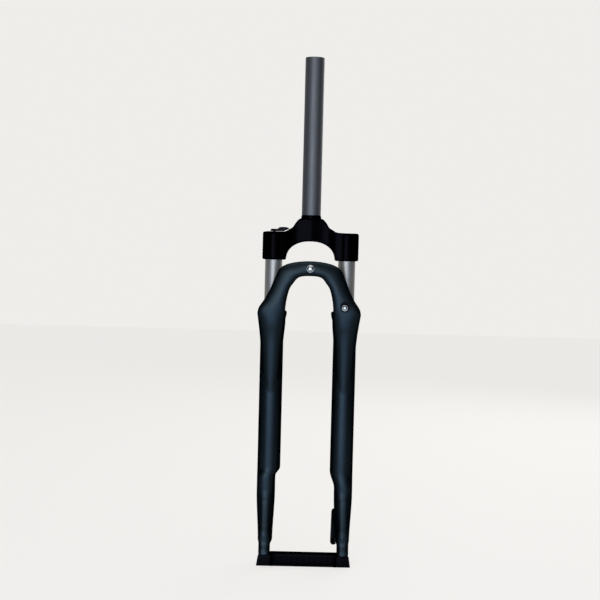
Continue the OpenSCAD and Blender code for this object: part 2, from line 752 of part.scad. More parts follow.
steerer_tube();
crown();
stanchion_left();
stanchion_right();
spring_top_cap();
preload_dial();
preload_nut();
main_spring();
bump_stop();
spring_seat();
spring_rod();
top_out_spring();
rod_guide();
damper_top_cap();
lockout_lever();
lockout_lever_screw();
lockout_spindle();
compression_valve();
damper_cartridge();
damper_piston();
damper_rod();
damper_seal_head();
lowers();
dust_seal_left();
dust_seal_right();
upper_bushing_left();
upper_bushing_right();
lower_bushing_left();
lower_bushing_right();
foot_bolts();
foot_washers();
arch_screw();
hose_guide();
hose_guide_screw();
dropout_spacer();
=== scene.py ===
# %% [markdown]
# # A suspension fork for a city bicycle
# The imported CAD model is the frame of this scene. Every piece made here stands in the place of a
# CAD part, in metres: the origin is the crown race seat, +Z runs up the steerer, -Y points
# forwards and +X is the rider's left.

# %% Load the frame
import json
import math
import bmesh
import bpy
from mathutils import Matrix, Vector


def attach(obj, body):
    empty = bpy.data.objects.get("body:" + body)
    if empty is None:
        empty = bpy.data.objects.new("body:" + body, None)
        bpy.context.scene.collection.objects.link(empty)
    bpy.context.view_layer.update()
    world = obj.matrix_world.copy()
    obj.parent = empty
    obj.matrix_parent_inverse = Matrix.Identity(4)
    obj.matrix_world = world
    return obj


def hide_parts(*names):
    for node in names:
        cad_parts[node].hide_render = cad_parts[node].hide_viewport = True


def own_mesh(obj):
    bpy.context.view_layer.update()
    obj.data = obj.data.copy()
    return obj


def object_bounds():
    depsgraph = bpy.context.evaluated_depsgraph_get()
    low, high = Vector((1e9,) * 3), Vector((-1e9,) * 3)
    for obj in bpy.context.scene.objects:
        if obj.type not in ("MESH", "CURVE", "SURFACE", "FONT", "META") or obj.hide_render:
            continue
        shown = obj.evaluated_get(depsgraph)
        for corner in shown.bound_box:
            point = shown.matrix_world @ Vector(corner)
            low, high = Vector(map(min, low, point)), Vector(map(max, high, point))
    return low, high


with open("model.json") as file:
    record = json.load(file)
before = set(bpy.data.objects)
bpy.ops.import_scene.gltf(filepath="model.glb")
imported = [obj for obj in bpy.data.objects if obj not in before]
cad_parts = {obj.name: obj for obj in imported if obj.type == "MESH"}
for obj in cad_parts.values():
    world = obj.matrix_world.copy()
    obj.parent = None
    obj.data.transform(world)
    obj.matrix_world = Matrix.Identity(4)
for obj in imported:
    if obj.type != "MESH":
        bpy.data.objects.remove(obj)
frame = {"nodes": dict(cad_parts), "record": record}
cad_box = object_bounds()
MM = 0.001
print("CAD box in mm:", [[round(v / MM, 1) for v in corner] for corner in cad_box])

# %% [markdown]
# The sizes below repeat the ones of the CAD source, in millimetres, so that a finer piece lands
# exactly where the plain solid stands.

# %% Sizes of the fork
SIDES = (1, -1)                      # rider's left, rider's right
AXLE_TO_CROWN, AXLE_OFFSET, TRAVEL, HUB_WIDTH = 500, 44, 63, 100
LEG_X, LEG_Y = 54.5, -14             # a leg axis
STEERER_R, STEERER_WALL, STEERER_TOP, SEAT_R, SEAT_H = 14.3, 2.3, 240, 15, 4
BOSS_R, BOSS_TOP, BOSS_BOTTOM, CORE_H = 17, -20.5, -61.5, 33.5
STANCHION_R, STANCHION_WALL = 12.7, 1.6
LEG_R, COLLAR_R, COLLAR_H, BORE_FLOOR, FOOT_H = 17, 21.5, 26, 130, 19
ARCH_RISE, ARCH_BAND, ARCH_DEPTH, ARCH_GAP = 75.5, 22, 14, 2.5
DROPOUT_W, SLOT_W, DROPOUT_WALL, DROPOUT_R = 16.5, 9.4, 7.5, 15
AXLE_Z = -AXLE_TO_CROWN
SEAL_H, BOTTOM_CLEAR = 5.5, 5
LEG_TOP = BOSS_BOTTOM - SEAL_H - TRAVEL - BOTTOM_CLEAR - 3
FOOT_Z = AXLE_Z + FOOT_H
STANCHION_TOP = BOSS_TOP - 4
STANCHION_BOTTOM = AXLE_Z + BORE_FLOOR + TRAVEL + BOTTOM_CLEAR
FIT = 0.02                           # added to a bore, so that its shaft goes in
print("leg top", LEG_TOP, "foot", FOOT_Z, "stanchion", STANCHION_BOTTOM, STANCHION_TOP)

# %% [markdown]
# The photograph was taken with a long lens, almost straight at the front of the fork and a
# little from above, which keeps its sides parallel. The camera repeats that view. It is turned
# by a degree and a half, because the fork leans by as much in the picture.

# %% Camera
def placed(name, data):
    thing = bpy.data.objects.new(name, data)
    bpy.context.scene.collection.objects.link(thing)
    return thing

def add_camera():
    lens = bpy.data.cameras.new("camera")
    lens.lens, lens.sensor_width, lens.clip_end = 78, 36, 50
    camera = placed("camera", lens)
    camera.location = (-0.0291, -1.9551, -0.0194)
    camera.rotation_euler = [math.radians(a) for a in (86.989, -1.442, -0.375)]
    bpy.context.scene.camera = camera
    return camera

print("camera at", tuple(round(v, 3) for v in add_camera().location))

# %% [markdown]
# The fork stands on a plain pale floor. A broad soft box in front puts one calm band down each
# leg, which is how black paint shows that it is round. A low and slightly blue one lights the
# feet, a small one gives the bright points on the screws, and two more light the top and the back.
# The floor and the sky glow only for rays that are seen, so they stay pale without lighting the
# fork, and the floor keeps its shadow.

# %% Helpers for floor, lights and sky
FLOOR_Z = cad_box[0].z

def seen_rays(tree):
    """1 for rays that come from the camera, from a mirror finish or through glass."""
    path = tree.nodes.new("ShaderNodeLightPath")
    seen = path.outputs["Is Camera Ray"]
    for ray in ("Is Glossy Ray", "Is Transmission Ray"):
        either = tree.nodes.new("ShaderNodeMath")
        either.operation = "MAXIMUM"
        tree.links.new(seen, either.inputs[0])
        tree.links.new(path.outputs[ray], either.inputs[1])
        seen = either.outputs[0]
    return seen

def fill(node, **values):
    """Sets inputs of a node. An underscore in a name stands for a space."""
    for label, value in values.items():
        node.inputs[label.replace("_", " ")].default_value = value

def new_material(name):
    mat = bpy.data.materials.new(name)
    mat.use_nodes = True
    return mat, mat.node_tree.nodes["Principled BSDF"]

def floor_paper(colour, glow):
    mat, paper = new_material("floor_paper")
    fill(paper, Base_Color=(*colour, 1), Roughness=0.9, Emission_Color=(*glow, 1))
    mat.node_tree.links.new(seen_rays(mat.node_tree), paper.inputs["Emission Strength"])
    return mat

def sheet(name, width, height, z, paint):
    """A flat rectangle around the origin, for the stage."""
    mesh = bpy.data.meshes.new(name)
    corners = ((-1, -1), (1, -1), (1, 1), (-1, 1))
    mesh.from_pydata([(x * width / 2, y * height / 2, z) for x, y in corners], [], [(0, 1, 2, 3)])
    mesh.materials.append(paint)
    flat = placed(name, mesh)
    return flat

def aimed(thing, place, target):
    thing.location = place
    thing.rotation_euler = (Vector(target) - Vector(place)).to_track_quat("-Z", "Y").to_euler()

def add_soft_box(name, place, target, width, height, watts, colour=(1, 1, 1)):
    lamp = bpy.data.lights.new(name, "AREA")
    lamp.shape, lamp.size, lamp.size_y = "RECTANGLE", width, height
    lamp.energy, lamp.color = watts, colour
    aimed(placed(name, lamp), place, target)

def add_flag(name, place, target, width, height):
    """A black cloth beside the fork that only reflections see. It darkens the flanks of paint
    and chrome, which is how a round glossy form is made to look round."""
    cloth, shader = new_material(name)
    fill(shader, Base_Color=(0.01, 0.01, 0.01, 1), Roughness=1)
    flag = sheet(name, width, height, 0, cloth)
    aimed(flag, place, target)
    flag.visible_camera = flag.visible_diffuse = flag.visible_shadow = False
    flag.visible_transmission = False

def add_sky():
    world = bpy.data.worlds.new("studio")
    bpy.context.scene.world = world
    world.use_nodes = True
    nodes, links = world.node_tree.nodes, world.node_tree.links
    nodes.clear()
    out = nodes.new("ShaderNodeOutputWorld")
    seen, light = nodes.new("ShaderNodeBackground"), nodes.new("ShaderNodeBackground")
    fill(seen, Color=(*SKY_SEEN, 1), Strength=1)
    fill(light, Color=(*SKY_LIGHT, 1), Strength=0.1)
    mix = nodes.new("ShaderNodeMixShader")
    links.new(seen_rays(world.node_tree), mix.inputs["Fac"])
    links.new(light.outputs[0], mix.inputs[1])
    links.new(seen.outputs[0], mix.inputs[2])
    links.new(mix.outputs[0], out.inputs["Surface"])

# %% Floor, lights and sky
SKY_SEEN, SKY_LIGHT = (0.86, 0.85, 0.83), (0.80, 0.82, 0.86)
FLOOR_SIZE = 9.0
sheet("floor", FLOOR_SIZE, FLOOR_SIZE, FLOOR_Z, floor_paper((0.12, 0.118, 0.115), (0.75, 0.74, 0.722)))
MIDDLE = (0, 0, -0.2)
add_soft_box("key_front", (-0.45, -2.3, -0.20), MIDDLE, 1.2, 1.25, 36)
add_soft_box("small_front", (-0.35, -1.9, 0.55), MIDDLE, 0.1, 0.1, 3)
add_soft_box("low_front", (-0.15, -1.25, -0.50), MIDDLE, 1.6, 0.4, 13, (0.46, 0.72, 1.20))
add_soft_box("top", (0.1, -0.2, 1.6), MIDDLE, 1.6, 1.2, 16)
add_soft_box("rim_back", (0.9, 1.6, 0.7), MIDDLE, 1.2, 1.2, 16)
add_flag("flag_left", (-1.25, -0.6, 0.0), MIDDLE, 2.0, 2.4)
add_flag("flag_right", (1.25, -0.6, 0.0), MIDDLE, 2.0, 2.4)
add_sky()
bpy.context.scene.view_settings.view_transform = "Standard"
print("floor at", round(FLOOR_Z / MM, 1), "mm")

# %% [markdown]
# ## Finishes
# Each finish is one Principled shader. Its colour, roughness and bump come from noise on the
# object's own coordinates, so the pattern stays on the piece from every side. The noise may be
# stretched along the steerer, as the marks of drawing and polishing a tube are.

# %% One recipe for a finish
def finish(name, colour, spread=0.15, metallic=0.0, roughness=0.4, rough_spread=0.06,
           patch=18, grain=900, stretch=(1, 1, 1), bump=0.05, bump_mm=0.05, tint=(1, 1, 1)):
    mat, shader = new_material(name)
    nodes, links = mat.node_tree.nodes, mat.node_tree.links
    place, mapping = nodes.new("ShaderNodeTexCoord"), nodes.new("ShaderNodeMapping")
    fill(mapping, Scale=stretch)
    links.new(place.outputs["Object"], mapping.inputs["Vector"])

    def noise(scale, detail):
        node = nodes.new("ShaderNodeTexNoise")
        fill(node, Scale=scale, Detail=detail)
        links.new(mapping.outputs["Vector"], node.inputs["Vector"])
        return node.outputs["Fac"]

    def remap(source, low, high):
        node = nodes.new("ShaderNodeMapRange")
        fill(node, From_Min=0.3, From_Max=0.7, To_Min=low, To_Max=high)
        links.new(source, node.inputs["Value"])
        return node.outputs["Result"]

    patches, grains = noise(patch, 3), noise(grain, 4)
    blend = nodes.new("ShaderNodeMix")
    blend.data_type = "RGBA"
    fill(blend, A=(*[c * (1 - spread) for c in colour], 1),
         B=(*[min(1, c * (1 + spread)) for c in colour], 1))
    links.new(remap(patches, 0, 1), blend.inputs["Factor"])
    links.new(blend.outputs["Result"], shader.inputs["Base Color"])
    links.new(remap(grains, max(0.02, roughness - rough_spread), roughness + rough_spread),
              shader.inputs["Roughness"])
    relief = nodes.new("ShaderNodeBump")
    fill(relief, Strength=bump, Distance=bump_mm * MM)
    links.new(grains, relief.inputs["Height"])
    links.new(relief.outputs["Normal"], shader.inputs["Normal"])
    fill(shader, Metallic=metallic, Specular_Tint=(*tint, 1))
    return mat

# %% Finishes of the fork
FINISHES = {
    "steerer": finish("drawn_steel", (0.085, 0.09, 0.10), 0.08, 1, 0.60, 0.05, 30, 420,
                      (1, 1, 0.03), 0.10, 0.04),
    "crown": finish("gloss_black_paint", (0.0006, 0.0006, 0.0010), 0.1, 1, 0.22, 0.03, 20, 260,
                    tint=(0, 0, 0)),
    "stanchion": finish("polished_chrome", (0.22, 0.212, 0.198), 0.03, 0.6, 0.44, 0.02, 40, 700,
                        (1, 1, 0.06), 0.03, 0.01),
    # The lowers are black powder paint. The blue in their colour is painted: a blue sheen that tints every
    # reflection on the legs.
    "casting": finish("satin_black_powder", (0.0104, 0.0156, 0.0194), 0.12, 1, 0.42, 0.04, 14,
                      1300, bump=0.12, bump_mm=0.06, tint=(0, 0, 0)),
    "cap_plastic": finish("satin_black_plastic", (0.003, 0.003, 0.004), 0.1, 1, 0.40, 0.05, 40, 1500,
                          bump=0.10, bump_mm=0.03, tint=(0, 0, 0)),
    "spacer_plastic": finish("ribbed_black_plastic", (0.0022, 0.0022, 0.0030), 0.12, 1, 0.50, 0.06, 30,
                             1200, bump=0.15, bump_mm=0.05, tint=(0, 0, 0)),
    "seal_rubber": finish("seal_rubber", (0.018, 0.018, 0.018), 0.1, 0, 0.62, 0.06, 60, 1800,
                          bump=0.15, bump_mm=0.04),
    "seal_plastic": finish("grey_seal_head", (0.10, 0.10, 0.11), 0.08, 0, 0.45, 0.05),
    "zinc_screw": finish("zinc_plate", (0.24, 0.26, 0.27), 0.08, 1, 0.32, 0.06, 120, 1500,
                         bump=0.06, bump_mm=0.02),
    "bright_steel": finish("ground_steel", (0.60, 0.60, 0.61), 0.05, 1, 0.20, 0.05, 40, 900,
                           (1, 1, 0.1), 0.06, 0.02),
    "spring_steel": finish("oiled_spring_steel", (0.16, 0.16, 0.17), 0.12, 1, 0.32, 0.06, 60, 900),
    "alloy_tube": finish("drawn_alloy", (0.55, 0.56, 0.58), 0.06, 1, 0.30, 0.05, 40, 600,
                         (1, 1, 0.05), 0.08, 0.03),
    "brass": finish("turned_brass", (0.66, 0.50, 0.24), 0.08, 1, 0.28, 0.06, 60, 900),
    "acetal": finish("white_acetal", (0.72, 0.71, 0.66), 0.04, 0, 0.38, 0.04, 60, 1200),
    "elastomer": finish("yellow_elastomer", (0.70, 0.55, 0.12), 0.08, 0, 0.55, 0.06, 40, 900),
    "bushing": finish("lined_bushing", (0.30, 0.25, 0.16), 0.12, 0.4, 0.48, 0.06, 80, 1100),
}
SLOT_OF = {part["node"]: part["material_slot"] for part in frame["record"]["subparts"]}
BODY_OF = {node: body for body, nodes in frame["record"]["behaviour"]["bodies"].items()
           for node in nodes}
print(len(FINISHES), "finishes for", len(SLOT_OF), "CAD parts")

# %% [markdown]
# ## Making closed shapes
# A few small helpers make nearly everything: a turned part from its half section, a loft through
# rings, a plate from its side outline, a round rod, and one step that melts overlapping solids
# into one skin. The skin is rebuilt from small cubes, relaxed until its edges are as round as those of a
# casting, and cut afterwards, so that bores and slots stay sharp.

# %% Meshes from lists of points
def new_piece(name, points, faces):
    mesh = bpy.data.meshes.new(name)
    mesh.from_pydata([tuple(c * MM for c in p) for p in points], [], faces)
    return placed(name, mesh)

def outward(piece):
    shape = bmesh.new()
    shape.from_mesh(piece.data)
    bmesh.ops.remove_doubles(shape, verts=shape.verts, dist=1e-6)
    bmesh.ops.recalc_face_normals(shape, faces=shape.faces)
    shape.to_mesh(piece.data)
    shape.free()
    return piece

def soft_shading(piece, degrees=32):
    piece.data.shade_smooth()
    shape = bmesh.new()
    shape.from_mesh(piece.data)
    limit = math.radians(degrees)
    for edge in shape.edges:
        edge.smooth = len(edge.link_faces) == 2 and edge.calc_face_angle(0) < limit
    shape.to_mesh(piece.data)
    shape.free()
    return piece

def on_circle(r, k, steps):
    return r * math.cos(2 * math.pi * k / steps), r * math.sin(2 * math.pi * k / steps)

def oblong(x0, x1, y0, y1):
    return (x0, y0), (x1, y0), (x1, y1), (x0, y1)

def turned(name, section, at=(0, 0), steps=96):
    """Turns a closed half section of (radius, height) points around the line at x, y."""
    n = len(section)
    points = []
    for i in range(steps):
        for r, z in section:
            x, y = on_circle(r, i, steps)
            points.append((at[0] + x, at[1] + y, z))
    faces = [(i * n + j, (i + 1) % steps * n + j, (i + 1) % steps * n + (j + 1) % n,
              i * n + (j + 1) % n) for i in range(steps) for j in range(n)]
    return soft_shading(outward(new_piece(name, points, faces)))

def loft(name, rings):
    n = len(rings[0])
    faces = [(i * n + j, i * n + (j + 1) % n, (i + 1) * n + (j + 1) % n, (i + 1) * n + j)
             for i in range(len(rings) - 1) for j in range(n)]
    faces += [tuple(range(n))[::-1], tuple((len(rings) - 1) * n + j for j in range(n))]
    return outward(new_piece(name, [p for ring in rings for p in ring], faces))

def upright(name, plan, z0, z1):
    return loft(name, [[(x, y, z) for x, y in plan] for z in (z0, z1)])

def side_plate(name, outline, x0, x1):
    """A plate across the fork. Its outline is in mm behind and above the axle."""
    return loft(name, [[(x, y - AXLE_OFFSET, AXLE_Z + z) for y, z in outline] for x in (x0, x1)])

def inset(outline, depth):
    """Moves each point of a closed outline inwards along the line that halves its corner."""
    area = sum(a[0] * b[1] - b[0] * a[1] for a, b in zip(outline, outline[1:] + outline[:1]))
    moved = []
    for before, here, after in zip(outline[-1:] + outline[:-1], outline, outline[1:] + outline[:1]):
        along = Vector((after[0] - before[0], after[1] - before[1]))
        inward = Vector((-along.y, along.x)).normalized() * math.copysign(depth, area)
        moved.append((here[0] + inward.x, here[1] + inward.y))
    return moved

def rounded_plate(name, outline, x0, x1, radius, steps=5):
    """The same plate with a round of the given radius along both of its rims."""
    turns = [math.pi / 2 * k / steps for k in range(steps + 1)]
    near = [(x0 + radius * (1 - math.cos(a)), radius * (1 - math.sin(a))) for a in turns]
    far = [(x0 + x1 - x, depth) for x, depth in reversed(near)]
    return loft(name, [[(x, y - AXLE_OFFSET, AXLE_Z + z) for y, z in inset(outline, depth)]
                       for x, depth in near + far])

def rod(name, a, b, radius, steps=64):
    """A round rod between two points, mostly used as a cutter."""
    a, b = Vector(a), Vector(b)
    turn = (b - a).to_track_quat("Z", "Y")
    ring = [turn @ Vector((*on_circle(radius, j, steps), 0)) for j in range(steps)]
    return loft(name, [[tuple(end + p) for p in ring] for end in (a, b)])

# %% Joining, melting and cutting solids
def apply_modifiers(piece):
    seen = bpy.context.evaluated_depsgraph_get()
    mesh = bpy.data.meshes.new_from_object(piece.evaluated_get(seen))
    piece.modifiers.clear()
    piece.data = mesh
    mesh.name = piece.name
    return piece

def joined(name, parts):
    shape = bmesh.new()
    for part in parts:
        shape.from_mesh(part.data)
        bpy.data.objects.remove(part)
    piece = new_piece(name, [], [])
    shape.to_mesh(piece.data)
    shape.free()
    return piece

def melted(piece, voxel, rounds, grow=0.0):
    cubes = piece.modifiers.new("skin", "REMESH")
    cubes.mode, cubes.voxel_size = "VOXEL", voxel * MM
    relax = piece.modifiers.new("relax", "SMOOTH")
    relax.factor, relax.iterations = 0.5, rounds
    swell = piece.modifiers.new("swell", "DISPLACE")
    swell.strength, swell.mid_level = grow * MM, 0
    apply_modifiers(piece)
    print(piece.name, "skin of", len(piece.data.polygons), "faces, box in mm",
          [[round(c[i] / MM, 2) for i in range(3)] for c in (piece.bound_box[0], piece.bound_box[6])])
    return piece

def cut(piece, tools):
    tool = joined(piece.name + "_cutter", tools)
    saw = piece.modifiers.new("cut", "BOOLEAN")
    saw.operation, saw.object, saw.solver = "DIFFERENCE", tool, "EXACT"
    saw.use_self = True
    apply_modifiers(piece)
    bpy.data.objects.remove(tool)
    return piece

def kept_inside(piece, plan):
    """Keeps of a piece only what lies inside another solid, which is then removed."""
    keep = piece.modifiers.new("plan", "BOOLEAN")
    keep.operation, keep.object, keep.solver = "INTERSECT", plan, "EXACT"
    apply_modifiers(piece)
    bpy.data.objects.remove(plan)

def bevelled(piece, width, segments):
    soften = piece.modifiers.new("soften", "BEVEL")
    soften.width, soften.segments, soften.limit_method = width * MM, segments, "ANGLE"
    return apply_modifiers(piece)

def dressed(piece, body, slot, *nodes, shade=32):
    """Gives a piece its finish, its body, and the CAD parts that it stands for."""
    if shade:
        soft_shading(piece, shade)
    if not piece.data.materials:
        piece.data.materials.append(FINISHES[slot])
    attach(piece, body)
    if nodes:
        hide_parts(*nodes)
    print(piece.name, len(piece.data.polygons), "faces on", body)
    return piece

# %% Smooth lines
def power(c, p):
    """One coordinate of a superellipse: a circle at power 2, squarer above it."""
    return math.copysign(abs(c) ** (2 / p), c)

def ease(v, a, b):
    t = min(1, max(0, (v - a) / (b - a)))
    return t * t * (3 - 2 * t)

def flowing(points, steps):
    """A smooth line through all the points, with some steps between two neighbours."""
    line, last = [], len(points) - 1
    for i in range(last):
        four = [points[max(0, i - 1)], points[i], points[i + 1], points[min(last, i + 2)]]
        for k in range(steps + (i == last - 1)):
            t = k / steps
            line.append(tuple(0.5 * (2 * b + (c - a) * t + (2 * a - 5 * b + 4 * c - d) * t * t
                                     + (3 * b - a - 3 * c + d) * t ** 3)
                              for a, b, c, d in zip(*four)))
    return line

def arc(cx, cy, r, a0, a1, n=12):
    return [(cx + r * math.cos(math.radians(a0 + (a1 - a0) * i / n)),
             cy + r * math.sin(math.radians(a0 + (a1 - a0) * i / n))) for i in range(n + 1)]

# %% [markdown]
# ## Steerer and crown
# The steerer is a plain drawn tube. Its root is pressed into the crown, and the paint of the
# crown runs a little way up the tube. A turned section gives the tube, its collar and the small
# chamfers that a lathe leaves at the top.

# %% Steerer tube
PAINT_TOP = 5.5

def make_steerer():
    bore, wall_top = STEERER_R - STEERER_WALL, STEERER_TOP - 0.6
    section = [(bore, -CORE_H), (STEERER_R, -CORE_H), (STEERER_R, 0), (SEAT_R, 0), (SEAT_R, SEAT_H - 0.3),
               (SEAT_R - 0.3, SEAT_H), (STEERER_R, SEAT_H + 0.1), (STEERER_R, PAINT_TOP),
               (STEERER_R, wall_top), (STEERER_R - 0.6, STEERER_TOP), (bore + 0.5, STEERER_TOP),
               (bore, STEERER_TOP - 0.5)]
    tube = turned("steerer", section)
    tube.data.materials.append(FINISHES["steerer"])
    tube.data.materials.append(FINISHES["crown"])
    for face in tube.data.polygons:
        x, y, z = face.center / MM
        if z < PAINT_TOP and math.hypot(x, y) > bore + 1:
            face.material_index = 1
    dressed(tube, "crown_unit", "steerer", "steerer_tube")

make_steerer()

# %% [markdown]
# The crown is a forging: a hub around the steerer, two arms that rise to it, and a boss around
# each stanchion. Its front outline and its plan are each drawn once. The solid that has both
# outlines is melted together with the bosses and the hub, which rounds every edge, and is then
# bored.

# %% Crown
HUB_R = SEAT_R + 8
ARM_TOP = BOSS_TOP + 1.5

def crown_front():
    half = LEG_X - BOSS_R - 1
    high = BOSS_BOTTOM + CORE_H
    under = [(half * power(math.cos(a), 2.2), BOSS_BOTTOM - high * power(math.sin(a), 2.2))
             for a in (math.pi - math.pi * i / 40 for i in range(41))]
    rise = flowing([(LEG_X - BOSS_R - 1.5, ARM_TOP), (HUB_R + 10.5, ARM_TOP + 2), (HUB_R + 4, ARM_TOP + 6),
                    (HUB_R + 1, ARM_TOP + 11), (HUB_R - 1.6, -4.5)], 6)
    right = [(LEG_X, BOSS_BOTTOM), (LEG_X, BOSS_TOP), (LEG_X - BOSS_R + 3, BOSS_TOP + 0.5)] \
        + rise + [(HUB_R - 5, -0.8), (HUB_R - 6, 0)]
    return [(-x, z) for x, z in right] + right[::-1] + under[::-1]

def crown_plan():
    front = flowing([(0, LEG_Y - BOSS_R + 7), (HUB_R, LEG_Y - BOSS_R + 8),
                     (LEG_X - BOSS_R, LEG_Y - BOSS_R + 3.5), (LEG_X, LEG_Y - BOSS_R + 1)], 8)
    back = flowing([(LEG_X, LEG_Y + BOSS_R - 1), (HUB_R + 8, LEG_Y + BOSS_R - 1),
                    (HUB_R * 0.75, HUB_R - 4), (0, HUB_R + 1)], 8)
    half = front + back
    return half + [(-x, y) for x, y in half[-2:0:-1]]

def make_crown():
    body = loft("crown_arms", [[(x, y, z) for x, z in crown_front()] for y in (-50, 40)])
    kept_inside(body, upright("crown_plan", crown_plan(), BOSS_BOTTOM - 1, 2))
    boss = [(0, BOSS_BOTTOM)] + arc(BOSS_R - 1, BOSS_BOTTOM + 1, 1, -90, 0, 4) \
        + arc(BOSS_R - 2, BOSS_TOP - 2, 2, 0, 90, 6) + [(0, BOSS_TOP)]
    hub = [(0, 4 - CORE_H), (HUB_R + 1, 4 - CORE_H), (HUB_R + 1, -9), (HUB_R - 0.6, -6), (HUB_R - 2.5, -3),
           (HUB_R - 5, -0.8), (HUB_R - 6, 0), (0, 0)]
    crown = joined("crown_forging", [body, turned("hub", hub)]
                   + [turned("boss", boss, (side * LEG_X, LEG_Y)) for side in SIDES])
    melted(crown, 0.9, 22, 0.25)
    bores = [rod("bore", (0, 0, BOSS_BOTTOM), (0, 0, 2), STEERER_R + FIT)]
    for x in (LEG_X, -LEG_X):
        bores.append(rod("bore", (x, LEG_Y, BOSS_BOTTOM - 1), (x, LEG_Y, BOSS_TOP + 1), STANCHION_R + FIT))
    cut(crown, bores)
    dressed(crown, "crown_unit", "crown", "crown")

make_crown()

# %% [markdown]
# ## Stanchions
# The stanchions are thin tubes, ground and hard chromed, that slide in the lowers.

# %% Stanchions
def make_stanchion(side):
    inner = STANCHION_R - STANCHION_WALL
    section = [(inner, STANCHION_BOTTOM), (STANCHION_R - 0.5, STANCHION_BOTTOM),
               (STANCHION_R, STANCHION_BOTTOM + 0.8), (STANCHION_R, STANCHION_TOP), (inner, STANCHION_TOP)]
    name = "stanchion_left" if side > 0 else "stanchion_right"
    tube = turned("chromed_" + name, section, (side * LEG_X, LEG_Y))
    dressed(tube, "crown_unit", "stanchion", name)

for side in SIDES:
    make_stanchion(side)

# %% [markdown]
# ## Lowers
# The lowers are one casting: two legs, the arch that ties them in front of the stanchions, the
# dropouts and the tab for the disc brake. It is the form that makes the fork, so each leg and
# the arch is a loft through sections that change a little at every step. The sections come from
# the same rules as in the CAD part, with many more points. Melting them together gives the
# fillets of a casting, and the machined bores, slots and holes are cut last.

# %% Sections of a leg and of the arch
def front_drop(h):
    """How far the front of a leg runs forwards, at height h above the axle, to meet the dropout."""
    top, bottom, reach = 92, 31, 21
    return reach * min(1, max(0, (top - h) / (top - bottom))) ** 1.25

def leg_ring(h, side, sides=88):
    top_h = LEG_TOP - AXLE_Z
    r = LEG_R + (COLLAR_R - LEG_R) * ease(h, top_h - COLLAR_H, top_h)
    narrow = 1 - (ease(h, BORE_FLOOR - 33, BORE_FLOOR - 7) if side > 0
                  else ease(h, BORE_FLOOR - 15, BORE_FLOOR - 4))
    foot = 1 - ease(h, FOOT_H, BORE_FLOOR - 40)
    inner, outer = LEG_X - r + 7 * narrow + 2.5 * foot, LEG_X + r - 3.5 * foot
    front, back = LEG_Y - r - 2 * narrow - front_drop(h), LEG_Y + r - 3.5 * narrow - 5.5 * foot
    p = 2 + 0.35 * narrow
    turns = (2 * math.pi * j / sides for j in range(sides))
    return [((inner + outer) / 2 + (outer - inner) / 2 * power(math.cos(a), p),
             (front + back) / 2 + (back - front) / 2 * power(math.sin(a), p), AXLE_Z + h) for a in turns]

ARCH_Y = LEG_Y - BOSS_R - ARCH_GAP - ARCH_DEPTH / 2

def arch_stations():
    """The left half of the arch from the leg to the middle, and then its mirror image. A station
    is the outer and the inner edge of the band, half its depth, and its place from front to back."""
    half_depth, top = ARCH_DEPTH / 2, LEG_TOP + ARCH_RISE
    edges = [((11, -125), (-11, -125), 14, -24), ((17, -45), (-17, -45), 17, -17),
             ((20, -18), (-19.5, -18), half_depth + 8, -10), ((21.5, 2), (-19.3, 4), half_depth, 0),
             ((11.5, 19), (-21, 20), half_depth, 0), ((3.8, 34), (-25, 35), half_depth, 0)]
    half = [(LEG_X + a[0], LEG_TOP + a[1], LEG_X + b[0], LEG_TOP + b[1], deep, ARCH_Y - y)
            for a, b, deep, y in edges]
    half += [(LEG_X - 3.6, top - 23, LEG_X - 30, top - 33, half_depth, ARCH_Y),
             (LEG_X - 10.5, top - 10.5, LEG_X - 36, top - ARCH_BAND - 3.5, half_depth, ARCH_Y - 0.4),
             (LEG_X - 27, top - 3, LEG_X - 43, top - ARCH_BAND - 0.6, half_depth, ARCH_Y - 0.8),
             (0, top, 0, top - ARCH_BAND, half_depth, ARCH_Y - 1)]
    return half + [(-a, b, -c, d, e, f) for a, b, c, d, e, f in half[-2::-1]]

def arch_ring(station, sides=56):
    """A ring around one station. Beside the middle its front leans, deeper at the inner edge."""
    ox, oz, ix, iz, deep, y = station
    lean = 0.3 * ease(abs(ox), 8, 26) * ease(oz, LEG_TOP - 10, LEG_TOP + 30)
    ring = []
    for j in range(sides):
        a = 2 * math.pi * (j + 0.5) / sides
        u, v = power(math.cos(a), 2.1), power(math.sin(a), 2.1)
        depth = deep * v * (1 - lean * u if v < 0 else 1)
        ring.append(((ox + ix) / 2 + (ox - ix) / 2 * u, y + depth, (oz + iz) / 2 + (oz - iz) / 2 * u))
    return ring

# %% Side outlines of the dropout and of the disc brake tab
LEG_BACK = AXLE_OFFSET + LEG_Y
DROPOUT_BOTTOM = -11.5
TAB_MID, TAB_SLOPE, TAB_PITCH, TAB_R, TAB_T = (LEG_BACK + 33, 30), 115, 51, 7.5, 9
TAB_X = HUB_WIDTH / 2 - 7.5

def tab_hole(k):
    slope = math.radians(TAB_SLOPE)
    away = k * TAB_PITCH / 2
    return (TAB_MID[0] + away * math.cos(slope), TAB_MID[1] + away * math.sin(slope))

def dropout_outline():
    front = [(LEG_BACK - LEG_R - 2 - front_drop(h), h) for h in range(82, 30, -8)]
    return flowing([(LEG_BACK - 8, BORE_FLOOR - 28), (LEG_BACK - LEG_R + 2, 95)] + front
                   + [(-9.6, 24), (-10.6, 17), (-14, 8), (-DROPOUT_R, 0)], 6) \
        + arc(0, 0, DROPOUT_R, 190, 230, 12) \
        + flowing([(9, DROPOUT_BOTTOM), (13, -4), (LEG_BACK - 8, FOOT_H - 6), (LEG_BACK, FOOT_H + 1)], 6) \
        + [(LEG_BACK + 4, FOOT_H + 20), (LEG_BACK + 2, BORE_FLOOR - 28)]

